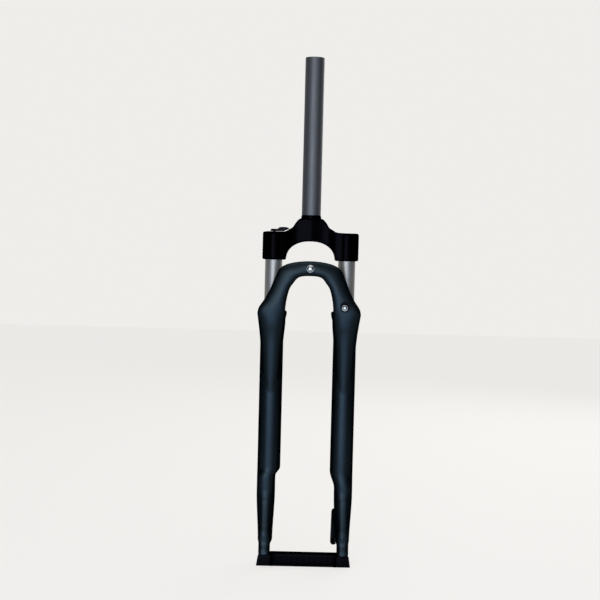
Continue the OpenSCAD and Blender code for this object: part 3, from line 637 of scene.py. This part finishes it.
def tab_outline():
    low, high = tab_hole(-1), tab_hole(1)
    return arc(*low, TAB_R, TAB_SLOPE - 235, TAB_SLOPE - 90, 20) \
        + arc(*high, TAB_R, TAB_SLOPE - 90, TAB_SLOPE - 30, 10) \
        + [(LEG_BACK + 7, high[1] + 7), (LEG_BACK - 6, high[1] + 2), (LEG_BACK - 8, high[1] - 12),
           (LEG_BACK - 6, FOOT_H + 4), (LEG_BACK + 6, FOOT_H - 1)]

def copy_of(part):
    twin = part.copy()
    twin.data = part.data.copy()
    bpy.context.scene.collection.objects.link(twin)
    return twin

def flipped(part):
    """Moves a part to the other side of the fork, as its mirror image."""
    for v in part.data.vertices:
        v.co.x = -v.co.x
    part.data.flip_normals()
    return part

# %% Lowers: loft, melt and cut
FOOT_FLOOR_Z = FOOT_Z + 9
SEAL_SEAT_R, SEAL_SUNK = COLLAR_R - 4, 4
BUSHING_SEAT_R = STANCHION_R + 1.4
FOOT_BOLT_R = {1: 4, -1: 3}
ARCH_SCREW_Z = LEG_TOP + ARCH_RISE - ARCH_BAND / 2
GUIDE_X, GUIDE_Z = LEG_X - 2.4, LEG_TOP + 8
SCREW_HOLE_R, TAB_HOLE_R, ROD_HOLE_R, BOLT_HEAD_R, RECESS_R = 2.52, 3, 6, 7.2, 10.5
DROPOUT_ROUND, TAB_ROUND, SLOT_LEAN = 6, 4, 20

def make_lowers():
    top_h = LEG_TOP - AXLE_Z
    rings = 110
    heights = [FOOT_H + (top_h - FOOT_H) * i / rings for i in range(rings + 1)]
    left, right = (loft("leg", [leg_ring(h, side) for h in heights]) for side in SIDES)
    flipped(right)
    dropout = rounded_plate("dropout", dropout_outline(), HUB_WIDTH / 2, HUB_WIDTH / 2 + DROPOUT_W,
                            DROPOUT_ROUND)
    arch = loft("arch", [arch_ring(s) for s in flowing(arch_stations(), 10)])
    tab = rounded_plate("tab", tab_outline(), TAB_X, TAB_X + TAB_T, TAB_ROUND)
    lowers = joined("lowers_casting", [left, right, dropout, flipped(copy_of(dropout)), arch, tab])
    melted(lowers, 1.25, 12, 0.3)
    tools = []
    for s in SIDES:
        x = s * LEG_X
        for radius, z0, z1 in ((SEAL_SEAT_R + FIT, LEG_TOP - SEAL_SUNK, LEG_TOP + 1),
                               (BUSHING_SEAT_R + FIT, AXLE_Z + BORE_FLOOR, LEG_TOP - SEAL_SUNK + 0.5),
                               (ROD_HOLE_R, FOOT_FLOOR_Z, AXLE_Z + BORE_FLOOR + 0.5),
                               (FOOT_BOLT_R[s] + 0.2, FOOT_Z - 1, FOOT_FLOOR_Z + 0.5),
                               (BOLT_HEAD_R, FOOT_Z - 20, FOOT_Z)):
            tools.append(rod("bore", (x, LEG_Y, z0), (x, LEG_Y, z1), radius))
        face, out = s * (HUB_WIDTH / 2 - 1), s * (HUB_WIDTH / 2 + DROPOUT_W + 1)
        slot = arc(0, 0, SLOT_W / 2, 180 + SLOT_LEAN, SLOT_LEAN, 24) \
            + [(edge * SLOT_W / 2 + 5, -30) for edge in (1, -1)]
        recess = arc(0, 0, RECESS_R, 200, 0, 30) + [(13, -30), (-8, -30)]
        tools += [side_plate("slot", slot, face, out),
                  side_plate("recess", recess, s * (HUB_WIDTH / 2 + DROPOUT_WALL), out)]
    for k in (-1, 1):
        y, z = tab_hole(k)
        spot = (y - AXLE_OFFSET, AXLE_Z + z)
        tools.append(rod("hole", (TAB_X - 1, *spot), (TAB_X + TAB_T + 1, *spot), TAB_HOLE_R))
    for x, back, z in ((0, ARCH_Y + 20, ARCH_SCREW_Z), (GUIDE_X, 0, GUIDE_Z)):
        tools.append(rod("hole", (x, ARCH_Y - 20, z), (x, back, z), SCREW_HOLE_R))
    cut(lowers, tools)
    dressed(lowers, "lower_unit", "casting", "lowers")

make_lowers()

# %% [markdown]
# ## Coil springs
# A spring follows a rule: the wire climbs at an even pitch, except in the first and last turn,
# which are closed up so that they lie flat. Geometry Nodes are the right tool, because the rule
# is a few maths nodes on a spiral. The same tree makes the main spring and the small top-out
# spring.

# %% Geometry Nodes helpers
def tree_with(name, **inputs):
    """A node tree with a geometry output and one named float or integer input for each size."""
    tree = bpy.data.node_groups.new(name, "GeometryNodeTree")
    tree.interface.new_socket("Geometry", in_out="OUTPUT", socket_type="NodeSocketGeometry")
    sockets = {}
    for label, value in inputs.items():
        kind = "NodeSocketInt" if isinstance(value, int) else \
            "NodeSocketFloat" if isinstance(value, float) else \
            "NodeSocketObject" if isinstance(value, bpy.types.Object) else "NodeSocketMaterial"
        sockets[label] = tree.interface.new_socket(label, in_out="INPUT", socket_type=kind)
    return tree, tree.nodes.new("NodeGroupInput"), {k: s.identifier for k, s in sockets.items()}

def new_nodes(tree, *kinds):
    return [tree.nodes.new(kind) for kind in kinds]

def joins(tree, *pairs):
    for source, target in pairs:
        tree.links.new(source, target)

def feed(tree, socket, value):
    if isinstance(value, (int, float)):
        socket.default_value = value
    else:
        tree.links.new(value, socket)

def maths(tree, kind, a, b):
    node = tree.nodes.new("ShaderNodeMath")
    node.operation = kind
    for socket, value in zip(node.inputs, (a, b)):
        feed(tree, socket, value)
    return node.outputs[0]

def ended(tree, shape, finish):
    """Makes real, separate geometry of a shape, gives it a finish and sends it to the output."""
    real, paint, out = new_nodes(tree, "GeometryNodeRealizeInstances", "GeometryNodeSetMaterial",
                                 "NodeGroupOutput")
    joins(tree, (shape, real.inputs["Geometry"]), (real.outputs["Geometry"], paint.inputs["Geometry"]),
          (finish, paint.inputs["Material"]), (paint.outputs["Geometry"], out.inputs["Geometry"]))

def grown(name, tree, identifiers, **values):
    """Runs a tree with its inputs on an empty object, and keeps the result as a plain mesh."""
    piece = new_piece(name, [], [])
    grower = piece.modifiers.new("grow", "NODES")
    grower.node_group = tree
    for label, value in values.items():
        grower[identifiers[label]] = value
    return apply_modifiers(piece)

# %% The spring tree
def spring_tree():
    tree, given, ids = tree_with("closed_coil", turns=1.0, steps=10, radius=1.0, wire=1.0, height=1.0,
                                 finish=FINISHES["spring_steel"])
    size = given.outputs
    spiral, place, along, offset, wire, sweep, smooth = new_nodes(
        tree, "GeometryNodeCurveSpiral", "GeometryNodeSetPosition", "GeometryNodeSplineParameter",
        "ShaderNodeCombineXYZ", "GeometryNodeCurvePrimitiveCircle", "GeometryNodeCurveToMesh",
        "GeometryNodeSetShadeSmooth")
    joins(tree, (size["steps"], spiral.inputs["Resolution"]), (size["turns"], spiral.inputs["Rotations"]),
          (size["radius"], spiral.inputs["Start Radius"]), (size["radius"], spiral.inputs["End Radius"]))
    fill(spiral, Height=0)
    turn = maths(tree, "MULTIPLY", along.outputs["Factor"], size["turns"])
    last = maths(tree, "SUBTRACT", size["turns"], 1)
    end = maths(tree, "MULTIPLY", size["wire"], 2.04)
    middle = maths(tree, "SUBTRACT", maths(tree, "SUBTRACT", size["height"], end), end)
    lift = 0
    for start, stop, rise in ((0, 1, end), (1, last, middle), (last, size["turns"], end)):
        climb = tree.nodes.new("ShaderNodeMapRange")
        for label, value in (("Value", turn), ("From Min", start), ("From Max", stop),
                             ("To Max", rise)):
            feed(tree, climb.inputs[label], value)
        lift = maths(tree, "ADD", lift, climb.outputs["Result"])
    fill(wire, Resolution=14)
    fill(sweep, Fill_Caps=True)
    joins(tree, (lift, offset.inputs["Z"]), (offset.outputs[0], place.inputs["Offset"]),
          (spiral.outputs["Curve"], place.inputs["Geometry"]), (size["wire"], wire.inputs["Radius"]),
          (place.outputs["Geometry"], sweep.inputs["Curve"]),
          (wire.outputs["Curve"], sweep.inputs["Profile Curve"]),
          (sweep.outputs["Mesh"], smooth.inputs["Geometry"]))
    ended(tree, smooth.outputs["Geometry"], size["finish"])
    return tree, ids

def make_spring(name, node, mean_r, wire_r, turns, z0, z1):
    tree, ids = spring_tree()
    coil = grown(name, tree, ids, turns=float(turns), steps=36, radius=mean_r * MM, wire=wire_r * MM,
                 height=(z1 - z0 - 2 * wire_r) * MM, finish=FINISHES["spring_steel"])
    for v in coil.data.vertices:
        v.co += Vector((LEG_X, LEG_Y, z0 + wire_r)) * MM
    return dressed(coil, "crown_unit", "spring_steel", node, shade=0)

NUT_TOP = STANCHION_TOP - 14
SPRING_TOP, GUIDE_TOP = NUT_TOP - 12, STANCHION_BOTTOM + 10
SEAT_BOTTOM = GUIDE_TOP + 15
SEAT_TOP = SEAT_BOTTOM + 8
WIRE_R, SPRING_TURNS = 1.7, 14
STANCHION_BORE_R = STANCHION_R - STANCHION_WALL
main_spring = make_spring("coil_main", "main_spring", STANCHION_BORE_R - 1 - WIRE_R, WIRE_R, SPRING_TURNS,
                          SEAT_TOP, SPRING_TOP)
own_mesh(main_spring)
make_spring("coil_top_out", "top_out_spring", 6.6, 1, 4, GUIDE_TOP, SEAT_BOTTOM)

# %% [markdown]
# ## Seals and caps
# The dust seals are turned rubber parts, with a groove for a small ring spring and a thin lip
# that wipes the chrome. The caps close the stanchions: the left one holds a dial that sits
# flush in the crown, and the right one the spindle of the lockout lever.

# %% Dust seals
def make_seal(side):
    r, seat = STANCHION_R + 0.06, SEAL_SEAT_R - FIT
    low, top = LEG_TOP - SEAL_SUNK, LEG_TOP + SEAL_H
    section = [(r, low), (seat, low), (seat, LEG_TOP), (seat + 0.9, LEG_TOP + 0.35),
               (seat + 1.1, LEG_TOP + 0.7), (seat + 0.9, LEG_TOP + 1.1),
               (seat - 0.7, LEG_TOP + 1.3), (seat - 1.0, LEG_TOP + 2.2),
               (seat - 1.5, LEG_TOP + 2.5), (seat - 1.55, LEG_TOP + 3.1), (seat - 1.0, LEG_TOP + 3.4),
               (seat - 1.3, top - 0.9), (r + 0.9, top), (r, top), (r, top - 1.5), (r + 0.6, top - 2.5),
               (r + 0.6, LEG_TOP), (r, LEG_TOP - 1)]
    name = "dust_seal_left" if side > 0 else "dust_seal_right"
    dressed(turned("lipped_" + name, section, (side * LEG_X, LEG_Y)), "lower_unit", "seal_rubber", name)

for side in SIDES:
    make_seal(side)

# %% Caps, dial and coin slot
CAP_HOLE_R, STEM_R, SPINDLE_R = 8, 4, 2.5
DIAL_TOP = BOSS_TOP + 0.3

def make_cap(name, node, at, hole_r, top, recess_r=None, recess_z=None):
    skirt, edge, inside = STANCHION_TOP - 12, STANCHION_R - FIT, STANCHION_BORE_R - FIT
    section = [(hole_r, skirt), (inside - 0.5, skirt), (inside, skirt + 0.6), (inside, STANCHION_TOP),
               (edge, STANCHION_TOP), (edge, top - 0.6), (edge - 0.6, top)]
    if recess_r:
        section += [(recess_r + 0.4, top), (recess_r, top - 0.4), (recess_r, recess_z), (hole_r, recess_z)]
    else:
        section += [(hole_r + 0.3, top), (hole_r, top - 0.3)]
    dressed(turned(name, section, at), "crown_unit", "cap_plastic", node)

DIAL_R, DIAL_H = CAP_HOLE_R + 2.5, 4
make_cap("cap_spring_side", "spring_top_cap", (LEG_X, LEG_Y), STEM_R + 0.05, BOSS_TOP,
         DIAL_R + 0.05, DIAL_TOP - DIAL_H)
make_cap("cap_damper_side", "damper_top_cap", (-LEG_X, LEG_Y), SPINDLE_R + 0.05, BOSS_TOP + 0.7)

def make_dial():
    rim, low, foot = DIAL_R, DIAL_TOP - DIAL_H + 0.02, SPRING_TOP - 7
    section = [(0, foot), (STEM_R - 0.5, foot), (STEM_R, foot + 0.6), (STEM_R, low), (rim, low),
               (rim, DIAL_TOP - 0.5), (rim - 0.5, DIAL_TOP), (rim - 1.6, DIAL_TOP),
               (rim - 2.1, DIAL_TOP - 0.5), (rim - 2.6, DIAL_TOP - 0.5), (rim - 3.1, DIAL_TOP),
               (0, DIAL_TOP)]
    dial = turned("dial", section, (LEG_X, LEG_Y))
    coin = [(LEG_X + x, LEG_Y + y) for x, y in oblong(-6.5, 6.5, -1.1, 1.1)]
    slot = upright("coin", coin, DIAL_TOP - 1.8, DIAL_TOP + 1)
    notches = []
    for x, y in (on_circle(rim, i, 24) for i in range(24)):
        spot = (LEG_X + x, LEG_Y + y)
        notches.append(rod("notch", (*spot, DIAL_TOP - 1.2), (*spot, DIAL_TOP + 1), 0.55, 10))
    cut(dial, [slot] + notches)
    dressed(dial, "preload_unit", "cap_plastic", "preload_dial")

make_dial()

# %% [markdown]
# ## Lockout lever
# A moulded lever has no sharp edge, so its hub and its paddle are melted together like the
# castings, in finer cubes.

# %% Lockout lever
LEVER_BOTTOM, LEVER_HUB_TOP, LEVER_TOP = BOSS_TOP + 1, BOSS_TOP + 4.5, BOSS_TOP + 7.5
LEVER_R, LEVER_REACH, LEVER_W = 6, 22, 10
SCREW_FLOOR, LEVER_SCREW_R, LEVER_SINK_R = LEVER_HUB_TOP - 1.6, 1.5, 3.2

def make_lever():
    at, half = (-LEG_X, LEG_Y), LEVER_W / 2
    hub = [(0, LEVER_BOTTOM), (LEVER_R, LEVER_BOTTOM)] \
        + arc(LEVER_R - 2.5, LEVER_HUB_TOP - 2.5, 2.5, 0, 90, 8) + [(0, LEVER_HUB_TOP)]
    side = [(0, LEVER_BOTTOM), (LEVER_REACH * 0.6, LEVER_BOTTOM), (LEVER_REACH - 3, LEVER_BOTTOM + 2.4)] \
        + flowing([(LEVER_REACH, LEVER_BOTTOM + 4.2), (LEVER_REACH - 2, LEVER_TOP - 0.7),
                   (LEVER_REACH * 0.6, LEVER_TOP), (LEVER_R + 1, LEVER_TOP - 0.9),
                   (LEVER_R - 2, LEVER_HUB_TOP - 1)], 6) + [(0, LEVER_HUB_TOP - 1)]
    plan = [(at[0], at[1] + half), (at[0], at[1] - half)] \
        + arc(at[0] + LEVER_REACH - half, at[1], half, -90, 90, 20)
    paddle = loft("paddle", [[(at[0] + x, at[1] + y, z) for x, z in side] for y in (half, -half)])
    kept_inside(paddle, upright("paddle_plan", plan, LEVER_BOTTOM, LEVER_TOP + 1))
    lever = melted(joined("lever", [turned("hub", hub, at), paddle]), 0.3, 6)
    cut(lever, [rod("hole", (*at, LEVER_BOTTOM - 1), (*at, SCREW_FLOOR - 0.5), SPINDLE_R + FIT),
                rod("hole", (*at, LEVER_BOTTOM), (*at, LEVER_TOP + 1), LEVER_SCREW_R + FIT),
                rod("sink", (*at, SCREW_FLOOR), (*at, LEVER_TOP + 1), LEVER_SINK_R)])
    dressed(lever, "lockout_unit", "cap_plastic", "lockout_lever")

make_lever()

# %% [markdown]
# ## Screws
# The screws on the arch have round heads with a hexagon socket. Under each head is a flange with
# a ring of small teeth that keep it from turning loose. The ring is a pattern, so Geometry Nodes
# set one tooth on each point of a circle.

# %% The tooth ring tree
def repeated(tree, points, size):
    """Sets the item of a tree on each point, and returns the node that does so."""
    info, spread = new_nodes(tree, "GeometryNodeObjectInfo", "GeometryNodeInstanceOnPoints")
    joins(tree, (size["item"], info.inputs["Object"]), (points, spread.inputs["Points"]),
          (info.outputs["Geometry"], spread.inputs["Instance"]))
    ended(tree, spread.outputs["Instances"], size["finish"])
    return spread

def ring_tree(item):
    tree, given, ids = tree_with("ring_of_teeth", count=20, radius=1.0, item=item,
                                 finish=FINISHES["zinc_screw"])
    circle, index, turn = new_nodes(tree, "GeometryNodeMeshCircle", "GeometryNodeInputIndex",
                                    "ShaderNodeCombineXYZ")
    size = given.outputs
    share = maths(tree, "DIVIDE", index.outputs[0], size["count"])
    angle = maths(tree, "MULTIPLY", share, 2 * math.pi)
    spread = repeated(tree, circle.outputs["Mesh"], size)
    joins(tree, (size["count"], circle.inputs["Vertices"]), (size["radius"], circle.inputs["Radius"]),
          (angle, turn.inputs["Z"]), (turn.outputs[0], spread.inputs["Rotation"]))
    return tree, ids

def tooth_ring(count, radius, z0, z1):
    """A ring of small wedge teeth around the Z axis, in mm."""
    wide, deep = 0.42 * math.pi * radius / count, 0.9
    tooth = loft("tooth", [[(x * k, y * k, z) for x, y in oblong(-deep, deep * 0.4, -wide, wide)]
                           for k, z in ((1, z0), (0.75, z1))])
    tree, ids = ring_tree(tooth)
    ring = grown("teeth", tree, ids, count=count, radius=radius * MM, item=tooth,
                 finish=FINISHES["zinc_screw"])
    bpy.data.objects.remove(tooth)
    return ring

# %% Screws of the arch
ARCH_FRONT = ARCH_Y - 1 - ARCH_DEPTH / 2

def facing_forwards(piece, at):
    """Turns a piece that was made around Z so that Z points forwards, and moves it to a place."""
    for v in piece.data.vertices:
        x, y, z = v.co
        v.co = Vector((x + at[0] * MM, at[1] * MM - z, y + at[2] * MM))
    return piece

def round_head_screw(name, node, at, shank_from, base_z, head_r, head_h, flange_r, socket_r):
    shank_r = 2.5
    turns = [math.pi / 2 * i / 16 for i in range(1, 16)]
    dome = [(head_r * math.cos(a), base_z + 0.9 + (head_h - 0.9) * math.sin(a)) for a in turns]
    section = [(0, shank_from), (shank_r - 0.4, shank_from), (shank_r, shank_from + 0.5),
               (shank_r, base_z), (flange_r, base_z), (flange_r, base_z + 0.5),
               (flange_r - 0.4, base_z + 0.8), (head_r, base_z + 0.9)] + dome + [(0, base_z + head_h)]
    screw = turned("head", section)
    cut(screw, [rod("socket", (0, 0, base_z + head_h - 2.2), (0, 0, base_z + head_h + 1), socket_r, 6)])
    teeth = tooth_ring(18, flange_r - 0.4, base_z + 0.3, base_z + 1.05)
    whole = facing_forwards(joined(name, [screw, teeth]), at)
    dressed(whole, "lower_unit", "zinc_screw", node)

round_head_screw("screw_arch", "arch_screw", (0, ARCH_FRONT, ARCH_SCREW_Z),
                 shank_from=-ARCH_DEPTH - 2, base_z=0.2, head_r=5, head_h=3.6, flange_r=5.6,
                 socket_r=1.6)
round_head_screw("screw_hose_guide", "hose_guide_screw", (GUIDE_X, ARCH_Y - ARCH_DEPTH / 2, GUIDE_Z),
                 shank_from=-9, base_z=2.82, head_r=3.6, head_h=2.6, flange_r=4.4, socket_r=1.5)

# %% [markdown]
# ## Hose guide and foot bolts
# The hose guide is a moulded washer with an open hook. A foot bolt and its washer close each leg
# from below and hold the rod inside it.

# %% Hose guide
GUIDE_Y, GUIDE_BASE_R = ARCH_Y - ARCH_DEPTH / 2, 6.5
HOOK_R, HOOK_ARC = (6, 8.5), (20, 150)

def make_hose_guide():
    base = turned("guide_base", [(0, 0.3)] + arc(GUIDE_BASE_R - 0.5, 0.8, 0.5, -90, 0, 5)
                  + arc(GUIDE_BASE_R - 0.9, 1.9, 0.9, 0, 90, 6) + [(0, 2.8)])
    hook = arc(0, 0, HOOK_R[1], *HOOK_ARC, 30) + arc(0, 0, HOOK_R[0], *HOOK_ARC[::-1], 30)
    guide = melted(joined("hose_guide_clip", [base, upright("guide_hook", hook, 0.3, 6.3)]),
                   0.25, 4, 0.05)
    cut(guide, [rod("hole", (0, 0, -1), (0, 0, 5), SCREW_HOLE_R)])
    facing_forwards(guide, (GUIDE_X, GUIDE_Y, GUIDE_Z))
    dressed(guide, "lower_unit", SLOT_OF["hose_guide"], "hose_guide")

# %% Foot bolts and washers
WASHER_R, WASHER_H, ROD_THREAD_H = 6.8, 1.5, 14

def make_feet():
    bolts, washers = [], []
    for s in SIDES:
        at, r, seat = (s * LEG_X, LEG_Y), FOOT_BOLT_R[s], FOOT_Z - WASHER_H
        head = [(0, seat - 6)] + arc(5.2, seat - 5.2, 0.8, -90, 0, 6) + [(6, seat), (r, seat)]
        start, end = FOOT_FLOOR_Z + 1, FOOT_FLOOR_Z + ROD_THREAD_H
        ridges = [(r - 0.3 * (i % 2), start + i * 0.5) for i in range(2 * ROD_THREAD_H - 3)]
        bolt = turned("bolt", head + [(r, start)] + ridges + [(r - 0.8, end), (0, end)], at)
        cut(bolt, [rod("socket", (*at, seat - 7), (*at, seat - 2), 3, 6)])
        bolts.append(bolt)
        disc = [(r + 0.2, seat), (WASHER_R - 0.3, seat), (WASHER_R, seat + 0.3),
                (WASHER_R, FOOT_Z - 0.3), (WASHER_R - 0.3, FOOT_Z), (r + 0.2, FOOT_Z)]
        washers.append(turned("washer", disc, at))
    dressed(joined("foot_bolt_pair", bolts), "lower_unit", SLOT_OF["foot_bolts"], "foot_bolts")
    dressed(joined("foot_washer_pair", washers), "lower_unit", SLOT_OF["foot_washers"], "foot_washers")

make_hose_guide()
make_feet()

# %% [markdown]
# ## Transport spacer
# A black moulded bar keeps the dropouts apart while the fork is packed. Its open pockets are
# stiffened by ribs, which Geometry Nodes place in a row.

# %% Row of ribs
def row_tree(item):
    tree, given, ids = tree_with("row_of_ribs", count=8, start=0.0, pitch=0.01, item=item,
                                 finish=FINISHES["spacer_plastic"])
    line, first, step = new_nodes(tree, "GeometryNodeMeshLine", "ShaderNodeCombineXYZ",
                                  "ShaderNodeCombineXYZ")
    size = given.outputs
    repeated(tree, line.outputs["Mesh"], size)
    joins(tree, (size["start"], first.inputs["X"]), (size["pitch"], step.inputs["X"]),
          (first.outputs[0], line.inputs["Start Location"]), (step.outputs[0], line.inputs["Offset"]),
          (size["count"], line.inputs["Count"]))
    return tree, ids

# %% Spacer
SPACER_TOP, SPACER_H, SPACER_DEPTH, SPACER_LIP, SPACER_WALL = AXLE_Z + 3.5, 18.5, 18, 3, 3
POCKET_DEPTH, POCKET_END, RIBS, RIB_T, RIB_SUNK = 6, 6, 9, 1.6, 1.2
BUTTON_R, BUTTON_H = 9.6, 3

def block(name, x, y, z, round_off=0.6):
    """A box between pairs of limits, with its edges rounded."""
    return bevelled(upright(name, oblong(*x, *y), *z), round_off, 3)

def spacer_end(s, in_x, front, middle, low):
    """What lies at one dropout: the cheek and its knee in front, and the pin with its button."""
    out_x, root = HUB_WIDTH / 2 + DROPOUT_W + 3, in_x - POCKET_END
    cheek = [(root, SPACER_TOP), (out_x - 2.5, SPACER_TOP), (out_x, low), (root, low)]
    cheek = loft("cheek", [[(s * x, y, z) for x, z in cheek] for y in (front - SPACER_LIP, front)])
    wall = HUB_WIDTH / 2 + DROPOUT_WALL + 0.05
    knee = sorted((s * root, s * (in_x - 0.1)))
    return [bevelled(cheek, 1, 4),
            block("knee", knee, (front - SPACER_LIP, front + 9), (low, SPACER_TOP)),
            rod("pin", (s * (in_x - 0.5), middle, AXLE_Z),
                (s * (in_x + DROPOUT_WALL + 3.5), middle, AXLE_Z), SLOT_W / 2 - 0.2),
            rod("button", (s * wall, middle, AXLE_Z), (s * (wall + BUTTON_H), middle, AXLE_Z),
                BUTTON_R)]

def make_spacer():
    in_x, middle, face = HUB_WIDTH / 2 - FIT, -AXLE_OFFSET, SPACER_DEPTH / 2
    low, end = SPACER_TOP - SPACER_H, in_x - POCKET_END
    bar = block("spacer_bar", (-in_x, in_x), (middle - face, middle + face), (low, SPACER_TOP), 1)
    pockets = []
    for y0, y1 in ((middle - face - 6, middle - face + POCKET_DEPTH),
                   (middle + face - POCKET_DEPTH, middle + face + 6)):
        pockets.append(upright("pocket", oblong(-end, end, y0, y1), low + SPACER_WALL,
                               SPACER_TOP - SPACER_WALL))
    parts = [cut(bar, pockets)]
    for s in SIDES:
        parts += spacer_end(s, in_x, middle - DROPOUT_R - 0.4, middle, low + 2.4)
    pitch = 2 * end / (RIBS + 1)
    for y0 in (middle - face + RIB_SUNK, middle + face - POCKET_DEPTH - 0.2):
        rib = block("rib", (-RIB_T / 2, RIB_T / 2), (y0, y0 + POCKET_DEPTH - RIB_SUNK + 0.2),
                    (low + SPACER_WALL - 0.3, SPACER_TOP - SPACER_WALL + 0.3), 0.3)
        tree, ids = row_tree(rib)
        parts.append(grown("spacer_ribs", tree, ids, count=RIBS, start=(pitch - end) * MM,
                           pitch=pitch * MM, item=rib, finish=FINISHES["spacer_plastic"]))
        bpy.data.objects.remove(rib)
    dressed(joined("transport_spacer", parts), BODY_OF["dropout_spacer"], "spacer_plastic",
            "dropout_spacer")

make_spacer()

# %% [markdown]
# The other CAD parts keep their shape, which is right for them, and take their finish.

# %% Finishes of the CAD parts
for node, part in frame["nodes"].items():
    if not part.hide_render:
        part.data.materials.clear()
        part.data.materials.append(FINISHES[SLOT_OF[node]])
        print(node, "is", SLOT_OF[node])
